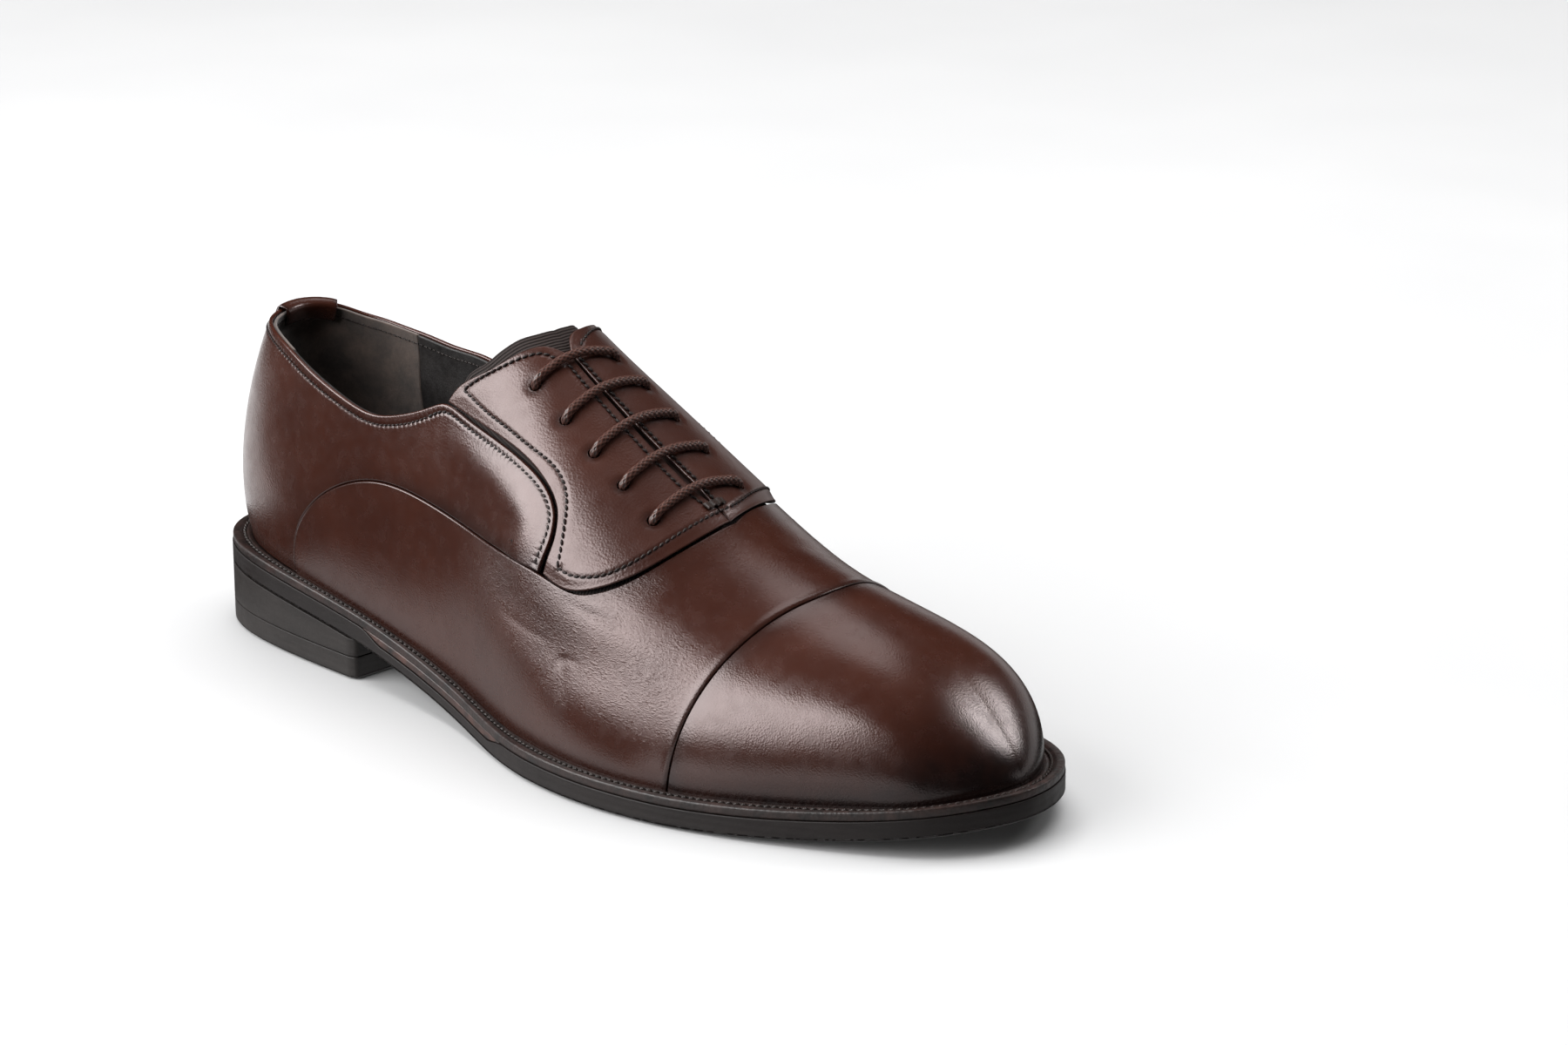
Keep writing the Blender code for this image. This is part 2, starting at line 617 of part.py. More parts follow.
def build_cap(col):
    u = np.r_[-2, -1.5, np.linspace(-1, 1, 21), 1.5, 2]
    start = through(CAP_SEAM, np.clip(u, -1, 1)) + 0.0007
    rows = np.array([0, .14, .28, .42, .55, .66, .76, .845, .905, .95, .982, 1.0])
    s = start[:, None] + (1 - start)[:, None] * rows[None]
    uu = np.repeat(u[:, None], len(rows), 1)
    shell("toe_cap", chart(s, uu, VAMP_D[0]), chart(s, uu, VAMP_D[1]), "calf", col, open_end=True)
    ss, uu = s[3:-3, 2:8], uu[3:-3, 2:8]
    shell("toe_puff", chart(ss, uu, PUFF_D[0]), chart(ss, uu, PUFF_D[1]), "stiffener", col)


def build_quarter(side, name, col):
    seam = wing(side)
    keep = seam[seam[:, 0] < 0.5575]
    su = np.abs(keep[:, 1])
    s = np.r_[.0006, HEEL_COLS, .1815, keep[1:, 0], .5595]
    last = np.interp(.5595, seam[:, 0], np.abs(seam[:, 1]))
    u_seam = np.r_[np.full(8, 1.0), su[1:], last]
    u_top = top_edge(TOPLINE, s * side)
    deep = (s > 0.17).astype(float)
    low = np.where(deep > 0, np.minimum(u_seam + 0.07, 1 - foot_v(s * side)), 1.25)
    groove = np.where(deep > 0, u_seam - 0.004, 1.1)
    groove[7] = 0.972
    crown = np.where(deep > 0, groove - 0.013, 1.0)
    rows = [low, groove, crown]
    for k in (.2, .42, .64, .82, .94, 1.0):
        rows.append(crown + (u_top - crown) * k)
    uu = np.stack(rows, 1) * side
    ss = np.repeat(s[:, None], uu.shape[1], 1)
    sunk = np.zeros_like(uu)
    sunk[:, 0] = deep
    sunk[:, 1] = deep
    d_out = QUARTER_D[0] + (UNDERLAP_D[0] - QUARTER_D[0]) * sunk
    d_in = QUARTER_D[1] + (UNDERLAP_D[1] - QUARTER_D[1]) * sunk
    d_out[:, -1] += 0.15
    d_in[:, -1] -= 0.15
    shell(name, chart(ss, uu, d_out), chart(ss, uu, d_in), "calf", col)


def top_edge(table, sig):
    """Distance of a top edge from the crest. The inner side of the collar sits a little lower."""
    s = np.abs(sig)
    return through(table, s) + np.where(sig > 0, through(DROP_INNER, s), 0)


def grip_front(k):
    """Station of the front edge of the heel grip, from its foot at 0 to the topline at 1."""
    return .1555 + .028 * (1 - k)


def lining_depth(s, u):
    """How far the lining is drawn out to meet the quarter at the topline."""
    over = np.abs(u) - top_edge(LINING_TOP, np.minimum(s, 0.60) * np.where(u < 0, -1, 1))
    draw = (1 - smooth(over, 0.03, 0.10)) * (1 - smooth(s, 0.355, 0.395))
    return -draw * (LINING_D[0] - QUARTER_D[1] - GAP - 0.05)


def foot_v(sig):
    """How far up the section the linings start, clear of the insole board."""
    s = np.abs(sig)
    f = feather(sig)
    top = spline(s, CREST[:, 0], CREST[:, 3])
    rise = spline(s, SECT[:, 0], SECT[:, 1])
    return 2.6 / (3 * rise * (top - f[..., 2]))


def build_linings(col):
    for side, name in ((-1, "quarter_lining_outer"), (1, "quarter_lining_inner")):
        s = np.r_[np.linspace(0, .245, 8), np.linspace(.285, .4545, 5)]
        k = np.array([0, .25, .5, .68, .8, .92, 1.0])
        front = grip_front(k) + .0012
        ss = np.where(s[:, None] < .245, front + (.39 - front) * s[:, None] / .245, .145 + s[:, None])
        low = 1 - foot_v(ss * side)
        top = top_edge(LINING_TOP, ss * side)
        uu = (low + (top - low) * k) * side
        pull = lining_depth(ss, uu)
        shell(name, chart(ss, uu, LINING_D[0] + pull), chart(ss, uu, LINING_D[1] + pull),
              "lining_black", col)
    cols = np.r_[0, HEEL_COLS[:-1], .1438]
    sig = np.r_[-cols[:0:-1], cols]
    k = np.array([0, .25, .5, .68, .8, .92, 1.0])
    ss = sig[:, None] * (1 + (grip_front(k) / .1438 - 1) * (sig[:, None] / .1438) ** 2)
    low = 1 - foot_v(ss)
    top = top_edge(LINING_TOP, ss)
    uu = low + (top - low) * k
    pull = lining_depth(np.abs(ss), uu * np.where(ss < 0, -1, 1))
    shell("heel_grip", place(ss, 1 - uu, LINING_D[0] + pull), place(ss, 1 - uu, LINING_D[1] + pull),
          "suede", col)
    cols = np.r_[0, HEEL_COLS]
    sig = np.r_[-cols[:0:-1], cols]
    low = 1 - foot_v(sig)
    k = np.array([0, .25, .5, .75, 1.0])
    uu = low[:, None] + (0.775 - low)[:, None] * k
    ss = np.repeat(sig[:, None], len(k), 1)
    shell("heel_counter", place(ss, 1 - uu, COUNTER_D[0]), place(ss, 1 - uu, COUNTER_D[1]),
          "stiffener", col)
    build_vamp_lining(col)


def build_vamp_lining(col):
    outer = wing(-1)
    inner = wing(1)[::-1][1:]
    edge = np.vstack([outer, inner])
    u = np.linspace(-1, 1, 21)
    near = np.interp(u, edge[:, 1], edge[:, 0])
    start = np.where(np.abs(u) < 0.62, np.maximum(near + 0.030, 0.603), 0.603)
    rows = np.array([0, .15, .3, .45, .6, .75, .88, 1.0])
    s = start[:, None] + (0.965 - start)[:, None] * rows
    side = np.sign(u)[:, None] + (u == 0)[:, None]
    limit = 1 - foot_v(s * side)
    uu = np.repeat(u[:, None], len(rows), 1) * limit
    shell("vamp_lining", chart(s, uu, LINING_D[0]), chart(s, uu, LINING_D[1]), "lining_black", col)


def halves(side_pts, top_pts, bottom_pts, rows, cols):
    """Grid over the whole panel from its outer side to its inner side."""
    grids = []
    for side in (-1, 1):
        centre = [top_pts[-1], bottom_pts[side][-1]]
        g = coons(side_pts, centre, top_pts, bottom_pts[side], rows, cols)
        g[..., 1] *= side
        grids.append(g)
    return np.concatenate([grids[0], grids[1][:, -2::-1]], 1)


def build_elastic(col):
    g = halves(ELASTIC_SIDE, ELASTIC_TOP, ELASTIC_BOTTOM, 12, 12)
    s, u = g[..., 0], g[..., 1]
    edge = wing(-1)
    near = np.interp(-np.abs(u), edge[:, 1], edge[:, 0])
    deep = (1 - smooth(np.abs(u), .33, .43)) * (1 - smooth(s, near - .028, near - .006))
    d = ELASTIC_D[0] + ELASTIC_DEEP * deep
    shell("elastic_gusset", chart(s, u, d), chart(s, u, d + 0.9), "elastic", col)


def facing_grid(side, rows, cols):
    slit_s = np.linspace(.486, .6615, 12)
    half = np.interp(slit_s, [p[0] for p in SLIT_HALF], [p[1] for p in SLIT_HALF])
    slit_u = through(SLIT, slit_s) + side * half
    centre = [(a, abs(b) if side < 0 else b) for a, b in zip(slit_s, slit_u)]
    top = list(FACING_TOP if side < 0 else FACING_TOP_INNER)
    if side < 0:
        centre = [(a, -b) for a, b in zip(slit_s, slit_u)]
    top[-1] = centre[0]
    edge = wing(side)
    start = FACING_SIDE[-1]
    base = edge[(edge[:, 0] > start[0] + 0.02) & (np.abs(edge[:, 1]) > abs(centre[-1][1]) + 0.05)]
    bottom = [start] + [(p[0] - 0.0105, abs(p[1])) for p in base[::2]] + [centre[-1]]
    g = coons(FACING_SIDE, centre, top, bottom, rows, cols)
    g[..., 1] *= side
    return g


def build_facings(col, cut):
    cutters = []
    for k, (s0, u0, s1, u1) in enumerate(EYELETS):
        for tag, s, u in (("outer", s0, u0), ("inner", s1, u1)):
            cutters.append(eyelet_cutter("eyelet_%s_%d" % (tag, k + 1), s, u, cut))
    for side, name in ((-1, "facing_outer"), (1, "facing_inner")):
        g = facing_grid(side, 13, 10)
        obj = shell(name, chart(g[..., 0], g[..., 1], FACING_D[0]),
                    chart(g[..., 0], g[..., 1], FACING_D[1]), "calf", col)
        for c in cutters[(0 if side < 0 else 1)::2]:
            subtract(obj, c)
    g = halves(LINER_SIDE, LINER_TOP, LINER_BOTTOM, 10, 9)
    obj = shell("facing_lining", chart(g[..., 0], g[..., 1], LINER_D[0]),
                chart(g[..., 0], g[..., 1], LINER_D[1]), "calf_dark", col)
    for c in cutters:
        subtract(obj, c)


def frame_at(s, u):
    p = chart(np.array(s), np.array(u), 0.0)
    side = -1.0 if u < 0 else 1.0
    return p, normal(np.array(s * side), np.array(1 - abs(u)))


def eyelet_cutter(name, s, u, col):
    p, n = frame_at(s, u)
    bpy.ops.mesh.primitive_cylinder_add(vertices=10, radius=EYELET_R * MM, depth=9 * MM)
    obj = bpy.context.active_object
    obj.name = name
    obj.rotation_mode = 'QUATERNION'
    obj.rotation_quaternion = Vector((0, 0, 1)).rotation_difference(Vector(n))
    obj.location = Vector(to_world(p))
    return as_cutter(obj, col)


def sweep(name, centres, radii, mat, col, sides=8):
    """Round bar along a path, with flat ends."""
    c = np.array(centres, float)
    t = np.gradient(c, axis=0)
    t /= np.linalg.norm(t, axis=1)[:, None]
    ref = np.array([1.0, 0, 0])
    verts = []
    for p, d, r in zip(c, t, radii):
        a = np.cross(d, ref)
        a /= np.linalg.norm(a)
        b = np.cross(d, a)
        for k in range(sides):
            ang = 2 * math.pi * (k + 0.5) / sides
            verts.append(p + r * (math.cos(ang) * a + math.sin(ang) * b))
    faces = []
    for i in range(len(c) - 1):
        for k in range(sides):
            q = (k + 1) % sides
            faces.append((i * sides + k, i * sides + q, (i + 1) * sides + q, (i + 1) * sides + k))
    faces.append(tuple(range(sides)))
    faces.append(tuple((len(c) - 1) * sides + k for k in range(sides)))
    return add_mesh(name, np.array(verts), faces, mat, col)


def build_laces(col):
    for k, (s0, u0, s1, u1) in enumerate(EYELETS):
        p0, n0 = frame_at(s0, u0)
        p1, n1 = frame_at(s1, u1)
        legs = [(-2.0, 2.6), (-1.45, 2.6), (-1.4, 1.5), (0.4, 1.5), (2.1, 1.55)]
        pts = [p0 + n0 * d for d, r in legs]
        rad = [r for d, r in legs]
        for t in (.05, .14, .3, .5, .7, .86, .95):
            s, u = s0 + (s1 - s0) * t, u0 + (u1 - u0) * t
            arch = 3.3 + 1.5 * math.sin(math.pi * t) ** 0.7
            q, n = frame_at(s, u)
            pts.append(q + n * arch)
            rad.append(LACE_R)
        pts += [p1 + n1 * d for d, r in reversed(legs)]
        rad += [r for d, r in reversed(legs)]
        sweep("lace_bar_%d" % (k + 1), pts, rad, "lace", col)


def build_tack(col):
    s = np.linspace(.6475, .6545, 3)
    u = np.linspace(-.072, .020, 5)
    ss, uu = np.meshgrid(s, u)
    shell("bar_tack", chart(ss, uu, -2.6), chart(ss, uu, -1.6), "lace", col)


def build_heel_tab(col):
    """Leather tab that wraps over the topline at the back seam."""
    cols = np.array([0, .015, .032, .040])
    sig = np.r_[-cols[:0:-1], cols] + .012
    top = top_edge(TOPLINE, sig)
    loop = [(.75, -.6), (.68, -.65), (.60, -.65), (.004, -.65), (-.006, -.55), (-.012, .1),
            (-.0145, 1.4), (-.012, 3.0), (-.004, 3.95), (.014, 4.15), (.028, 4.15), (.028, 3.5),
            (.016, 3.4), (.004, 3.3), (-.005, 2.6), (-.0065, 1.4), (-.005, .3), (.004, .03),
            (.60, .03), (.68, .03), (.75, .03)]
    rings = []
    for k, s in enumerate(sig):
        row = []
        for a, d in loop:
            u = a if a >= .5 else top[k] + a
            row.append(place(np.array(s), np.array(1 - u), np.array(d)))
        rings.append(np.array(row))
    n = len(loop)
    verts = np.concatenate(rings)
    faces = []
    for i in range(len(sig) - 1):
        for j in range(n):
            q = (j + 1) % n
            faces.append((i * n + j, i * n + q, (i + 1) * n + q, (i + 1) * n + j))
    for base in (0, (len(sig) - 1) * n):
        half = n // 2
        for j in range(half):
            a, b = base + j, base + j + 1
            c, d = base + n - 1 - j - 1, base + n - 1 - j
            if b == c:
                faces.append((a, b, d))
            else:
                faces.append((a, b, c, d))
    add_mesh("heel_tab", verts, faces, "calf", col)


def hang_on_hinge(name):
    """Puts a panel piece's origin on the hinge line, leaving the piece where it is."""
    obj = bpy.data.objects[name]
    point = Vector(to_world(HINGE))
    for vert in obj.data.vertices:
        vert.co -= point
    obj.location = point


def main():
    clear_scene()
    col = new_collection("leather_oxford_shoe")
    cut = new_collection("cutters")
    parts = build_sole(col)
    build_nails(col, cut, parts)
    build_vamp(col)
    build_cap(col)
    build_quarter(-1, "quarter_outer", col)
    build_quarter(1, "quarter_inner", col)
    build_linings(col)
    build_elastic(col)
    build_facings(col, cut)
    build_laces(col)
    build_tack(col)
    build_heel_tab(col)
    for name in PANEL:
        hang_on_hinge(name)


main()
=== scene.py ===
"""Looks of the leather oxford shoe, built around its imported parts.

The upper is one lasted foot shape. A point on it is given by its station s, from the back
of the heel 0 to the toe 1, and its signed distance u from the crest line, from -1 at the
outer feather edge to 1 at the inner one. Lengths in the tables are millimetres from the
back of the heel, and every piece is made in metres in the frame's own coordinates.
"""
import json
import math

import bmesh
import bpy
import numpy as np
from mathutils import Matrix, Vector

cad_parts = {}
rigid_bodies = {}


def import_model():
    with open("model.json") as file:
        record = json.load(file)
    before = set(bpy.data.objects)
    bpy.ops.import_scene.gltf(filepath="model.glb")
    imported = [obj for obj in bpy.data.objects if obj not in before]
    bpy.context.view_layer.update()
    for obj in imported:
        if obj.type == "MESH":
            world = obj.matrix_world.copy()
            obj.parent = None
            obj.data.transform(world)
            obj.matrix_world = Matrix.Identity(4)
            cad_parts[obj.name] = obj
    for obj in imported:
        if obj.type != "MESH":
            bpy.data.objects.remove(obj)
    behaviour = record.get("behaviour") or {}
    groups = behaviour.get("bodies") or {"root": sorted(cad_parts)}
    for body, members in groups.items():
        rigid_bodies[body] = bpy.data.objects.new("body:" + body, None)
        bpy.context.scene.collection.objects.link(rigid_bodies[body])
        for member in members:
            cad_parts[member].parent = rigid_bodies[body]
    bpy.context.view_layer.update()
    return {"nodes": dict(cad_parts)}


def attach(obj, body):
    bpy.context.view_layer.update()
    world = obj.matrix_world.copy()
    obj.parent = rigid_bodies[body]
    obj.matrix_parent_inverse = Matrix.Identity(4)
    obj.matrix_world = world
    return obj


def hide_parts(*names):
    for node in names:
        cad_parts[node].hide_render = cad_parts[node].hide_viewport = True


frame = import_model()
NODES = frame["nodes"]

MM = 0.001
PANEL = "lace_panel"
SHOE = "shoe"

# ---------------------------------------------------------------- camera

AZIMUTH = 44.4
ELEVATION = 18.3
DISTANCE = 1.240
TARGET = Vector((0.02105, 0.04785, 0.050))


def aim(obj, target, azimuth, elevation, away):
    """Links a camera or light and looks at the target with it, from a direction in degrees."""
    a, e = math.radians(azimuth), math.radians(elevation)
    back = Vector((math.sin(a) * math.cos(e), -math.cos(a) * math.cos(e), math.sin(e)))
    bpy.context.scene.collection.objects.link(obj)
    obj.location = target + back * away
    obj.rotation_mode = 'QUATERNION'
    obj.rotation_quaternion = (-back).to_track_quat('-Z', 'Y')
    return obj


def make_camera():
    data = bpy.data.cameras.new("camera")
    data.lens = 100
    data.sensor_width = 36
    data.clip_start = 0.05
    data.clip_end = 60
    cam = bpy.data.objects.new("camera", data)
    bpy.context.scene.camera = aim(cam, TARGET, AZIMUTH, ELEVATION, DISTANCE)


make_camera()

# ---------------------------------------------------------------- lasted shape

TREAD = [(0, 19), (40, 16.6), (79, 12), (110, 6.3), (135, 2), (158, 0), (190, 0), (222, 0),
         (250, 1.1), (275, 3.6), (302, 8)]
FLAT_FROM = 157.0
FLAT_TO = 223.0
SOLE_STACK = 8.7
OUTSOLE_T = 5.6
WAIST_T = 3.3
HEEL_BREAST = 79.0
TOP_LIFT_T = 6.5

SOLE_EDGE = [(0, 0), (4, -18), (14, -27.5), (30, -33), (60, -36), (90, -37), (120, -40.5),
             (140, -45.5), (164, -53), (180, -55.8), (194, -56.3), (208, -55), (224, -51.5),
             (244, -44.2), (258.5, -37.3), (273, -29.5), (287, -20), (296, -9.5), (301.5, 3),
             (300.5, 16), (293, 30), (281, 41), (266, 48.5), (248, 52.3), (228, 53.2), (205, 51),
             (180, 45), (155, 38), (125, 33), (92, 31.5), (60, 33), (30, 32), (14, 27), (4, 17)]

STATIONS = [(0.00, 3.0, 0, 0, 71.5, 0, 150),
            (0.05, 8.2, -15, 14, 73, 0, 150),
            (0.10, 21, -25, 23.5, 76, 0, 150.5),
            (0.16, 40, -30.5, 27.8, 80, -1, 152.5),
            (0.24, 66, -33, 28.5, 86, -2.5, 154),
            (0.33, 95, -34.2, 27.5, 101, -4.5, 142.5),
            (0.42, 124, -37.5, 29.5, 125, -6, 121),
            (0.52, 156, -46.3, 36, 156, -6.5, 98.5),
            (0.62, 188, -52, 45, 187, -5.5, 78),
            (0.72, 219, -48.3, 48, 217, -1.5, 62),
            (0.82, 250, -36, 46, 247, 4, 51.5),
            (0.90, 274, -24.5, 38, 271, 7.2, 42.5),
            (0.96, 289.5, -12, 25, 287.5, 8.2, 29.5),
            (1.00, 297, 7.5, 7.5, 297, 7.5, 16)]
SECTIONS = [(0.00, .32, 14, .55), (0.10, .34, 12.5, .55), (0.24, .45, 7, .60), (0.33, .50, 5, .60),
            (0.42, .55, 4, .58), (0.52, .58, 4, .68), (0.62, .58, 4, .56), (0.72, .60, 3.5, .42),
            (0.82, .62, 3, .57), (0.90, .64, 2, .70), (1.00, .62, 0, .60)]

CAP_SEAM = [(-1, .725), (-.86, .732), (-.61, .746), (-.42, .758), (-.2, .771), (0, .777),
            (.23, .766), (.5, .751), (.75, .739), (1, .731)]
WING_OUTER = [(.184, 1.0), (.186, .97), (.196, .915), (.218, .863), (.25, .820), (.30, .776),
              (.344, .752), (.394, .732), (.482, .683), (.56, .619), (.597, .593), (.618, .555),
              (.642, .467), (.660, .33), (.670, .17), (.672, 0)]
WING_INNER = WING_OUTER[:8] + [(.482, .680), (.555, .605), (.590, .535), (.617, .435),
                               (.642, .293), (.658, .15), (.672, 0)]
TOPLINE = [(0, .562), (.06, .566), (.10, .572), (.15, .597), (.20, .635), (.24, .660),
           (.28, .670), (.31, .658), (.345, .617), (.37, .573), (.386, .542), (.402, .527),
           (.426, .511), (.468, .471), (.4917, .447), (.515, .428), (.5295, .423), (.5427, .429),
           (.5518, .447), (.5566, .469), (.5595, .510)]
DROP_INNER = [(0, 0), (.037, .003), (.06, .012), (.085, .026), (.11, .033), (.137, .036),
              (.165, .033), (.20, .025), (.24, .008), (.28, 0), (.70, 0)]
LINING_TOP = [(0, .564), (.06, .568), (.10, .574), (.15, .599), (.20, .637), (.24, .662),
              (.28, .672), (.31, .660), (.345, .619), (.37, .576), (.392, .540), (.43, .530),
              (.47, .508), (.51, .490), (.55, .520), (.60, .560)]
GORE_END = [(.5592, .545), (.5576, .575), (.556, .605), (.555, .645), (.5545, .70)]
SLIT = [(.470, -.066), (.54, -.042), (.60, -.028), (.70, -.026)]
SLIT_HALF = [(.47, .0045), (.55, .008), (.628, .016), (.640, .010), (.648, .0028), (.70, .0028)]
FACING_TOP = [(.396, .521), (.406, .467), (.430, .377), (.448, .280), (.461, .183), (.468, .133),
              (.476, .098), (.486, .075)]
FACING_TOP_INNER = [(.396, .521), (.404, .467), (.424, .377), (.440, .280), (.456, .170),
                    (.466, .060), (.472, -.010), (.486, -.058)]
FACING_SIDE = [(.396, .521), (.412, .509), (.4466, .477), (.470, .451), (.493, .427),
               (.5157, .410), (.5343, .408), (.549, .418), (.5585, .438), (.5635, .466),
               (.5665, .502), (.5667, .545), (.566, .588)]
ELASTIC_SIDE = [(.398, .556), (.43, .560), (.47, .545), (.51, .522), (.535, .530), (.550, .555),
                (.562, .590), (.572, .612)]
ELASTIC_TOP = [(.398, .556), (.403, .45), (.416, .388), (.4245, .333), (.4325, .2755),
               (.4425, .193), (.452, .099), (.456, 0)]
ELASTIC_BOTTOM = {-1: [(.572, .612), (.600, .622), (.632, .590), (.662, .480), (.680, .340),
                       (.691, .170), (.694, 0)],
                  1: [(.572, .612), (.602, .585), (.632, .480), (.660, .330), (.679, .170),
                      (.694, 0)]}
EYELETS = [(.484, -.250, .496, .117), (.524, -.232, .525, .143), (.560, -.226, .559, .144),
           (.595, -.229, .594, .148), (.632, -.250, .634, .160)]
EYELET_R = 1.75
LEATHER_T = 1.3  # upper leather
LACE_R = 1.6
FLANGE_IN = 9.0
FLANGE_DOWN = 2.8
SOCK = (10.6, 11.8)  # faces of the sock liner and the pad, above the tread line
PAD = (12.1, 15.1)
CHART_MM = (300, 105)  # usual size of one unit of s and of u
UNDER = (1.12, 1.35)  # |u| of the two rows turned in under the insole
EDGE_MM = (0, .07, .16, .28, .42, .6, .9, 1.4, 2.1, 3.0)  # grid rows beside a cut edge


def spline(t, xs, ys):
    """Natural cubic spline through the points."""
    x = np.asarray(xs, float)
    y = np.asarray(ys, float)
    n = len(x)
    h = np.diff(x)
    a = np.zeros((n, n))
    r = np.zeros(n)
    a[0, 0] = 1
    a[-1, -1] = 1
    for i in range(1, n - 1):
        a[i, i - 1] = h[i - 1]
        a[i, i] = 2 * (h[i - 1] + h[i])
        a[i, i + 1] = h[i]
        r[i] = 6 * ((y[i + 1] - y[i]) / h[i] - (y[i] - y[i - 1]) / h[i - 1])
    m = np.linalg.solve(a, r)
    t = np.clip(np.asarray(t, float), x[0], x[-1])
    k = np.clip(np.searchsorted(x, t) - 1, 0, n - 2)
    left = x[k + 1] - t
    right = t - x[k]
    w = h[k]
    bend = (m[k] * left ** 3 + m[k + 1] * right ** 3) / (6 * w)
    return bend + (y[k] / w - m[k] * w / 6) * left + (y[k + 1] / w - m[k + 1] * w / 6) * right


def smooth(t, a, b):
    """Smooth step from 0 at a to 1 at b."""
    k = np.clip((np.asarray(t, float) - a) / (b - a), 0, 1)
    return k * k * (3 - 2 * k)


def splines(t, at, p):
    return np.stack([spline(t, at, column) for column in p.T], -1)


def read_off(want, at, p):
    """Rows of p at the positions wanted, between its own positions at."""
    return np.stack([np.interp(want, at, column) for column in p.T], -1)


def lengths(p):
    """Running length along the points of a line."""
    return np.r_[0, np.cumsum(np.linalg.norm(np.diff(p, axis=0), axis=1))]


def eased(p):
    """Running sum of the roots of the steps, which keeps a spline through them calm."""
    return np.r_[0, np.cumsum(np.sqrt(np.linalg.norm(np.diff(p, axis=0), axis=1)))]


def through(points, t):
    return spline(t, [p[0] for p in points], [p[1] for p in points])


def tread(x):
    """Height of the underside of the outsole above the ground."""
    z = np.maximum(0.0, through(TREAD, x))
    flat = (np.asarray(x) > FLAT_FROM) & (np.asarray(x) < FLAT_TO)
    return np.where(flat, 0.0, z)


def closed_curve(points, count=720):
    p = np.array(points, float)
    ext = np.vstack([p[-4:], p, p[:5]])
    d = eased(ext)
    return splines(np.linspace(d[4], d[4 + len(p)], count, endpoint=False), d, ext)


EDGE = closed_curve(SOLE_EDGE)
X_MID = 0.5 * (EDGE[:, 0].min() + EDGE[:, 0].max())
Y_MID = 0.5 * (EDGE[:, 1].min() + EDGE[:, 1].max())
ST = np.array(STATIONS, float)


def ring_table():
    base = [(-r[0], r[1], r[2]) for r in ST[::-1]] + [(r[0], r[1], r[3]) for r in ST[1:]]
    before = [(r[0] - 2, r[1], r[2]) for r in base[-5:-1]]
    after = [(r[0] + 2, r[1], r[2]) for r in base[1:5]]
    return np.array(before + base + after)


def crest_table():
    rows = [(-r[0], r[4], r[5], r[6]) for r in ST[3:0:-1]]
    rows += [(r[0], r[4], r[5], r[6]) for r in ST]
    tip = ST[-1]
    for r in ST[-2:-4:-1]:
        rows.append((2 - r[0], r[4], 2 * tip[5] - r[5], 2 * tip[6] - r[6]))
    return np.array(rows)


RING = ring_table()
CREST = crest_table()
SECT = np.array([(-r[0], r[1], r[2], r[3]) for r in SECTIONS[3:0:-1]] + list(SECTIONS), float)


def feather(sig):
    x = spline(sig, RING[:, 0], RING[:, 1])
    y = spline(sig, RING[:, 0], RING[:, 2])
    return np.stack([x, y, tread(x) + SOLE_STACK], -1)


def feather_out(sig):
    h = 0.004
    d = feather(np.asarray(sig) + h) - feather(np.asarray(sig) - h)
    out = np.stack([-d[..., 1], d[..., 0], np.zeros_like(d[..., 0])], -1)
    return out / np.linalg.norm(out, axis=-1)[..., None]


def surface(sig, v):
    """Outer surface: sig runs round the foot, v from the feather edge 0 to the crest 1."""
    sig = np.asarray(sig, float)
    s = np.abs(sig)
    f = feather(sig)
    t = splines(s, CREST[:, 0], CREST[:, 1:])
    rise, bulge, reach = [spline(s, SECT[:, 0], SECT[:, k]) for k in (1, 2, 3)]
    flat = f - t
    w = np.hypot(flat[..., 0], flat[..., 1]) + 1e-9
    e = np.stack([flat[..., 0] / w, flat[..., 1] / w, np.zeros_like(w)], -1)
    up = np.array([0, 0, 1.0])
    c1 = f + e * bulge[..., None] + up * (rise * (t[..., 2] - f[..., 2]))[..., None]
    c2 = t + e * (w * reach)[..., None]
    v = np.asarray(v, float)[..., None]
    return f * (1 - v) ** 3 + 3 * c1 * v * (1 - v) ** 2 + 3 * c2 * v * v * (1 - v) + t * v ** 3


def normal(sig, v):
    sig = np.asarray(sig, float)
    side = np.where(sig < 0, -1.0, 1.0)
    s = np.minimum(np.abs(sig), 0.992)
    h = 0.003
    a = surface(side * np.maximum(s, h) + h, v) - surface(side * np.maximum(s, h) - h, v)
    near = s < h
    b = surface(sig + h, v) - surface(sig - h, v)
    ds = np.where(near[..., None], b, a)
    sg = side * s
    dv = surface(sg, np.minimum(np.asarray(v) + 0.004, 1)) - surface(sg, np.maximum(v - 0.004, 0))
    n = np.cross(dv, ds)
    n = n / (np.linalg.norm(n, axis=-1)[..., None] + 1e-12)
    tip = smooth(np.abs(sig), 0.985, 1.0)[..., None]
    n = n * (1 - tip) + feather_out(side * 0.9999) * tip
    return n / np.linalg.norm(n, axis=-1)[..., None]


def place(sig, v, depth):
    """Point at a depth below the outer surface. v below 0 runs down and under the insole."""
    sig, v, depth = np.broadcast_arrays(np.asarray(sig, float), v, depth)
    on = surface(sig, np.maximum(v, 0))
    p = on - normal(sig, np.maximum(v, 0)) * depth[..., None]
    k = np.clip(-v, 0, 1)[..., None]
    inward = -feather_out(sig)
    low = feather(sig) + inward * depth[..., None]
    low[..., 2] = tread(low[..., 0]) + SOLE_STACK - FLANGE_DOWN + depth
    end = feather(sig) + inward * FLANGE_IN
    end[..., 2] = tread(end[..., 0]) + SOLE_STACK - FLANGE_DOWN + depth
    down = p + (low - p) * np.minimum(2 * k, 1)
    down = down + (end - low) * np.maximum(2 * k - 1, 0)
    return np.where(k > 0, down, p)


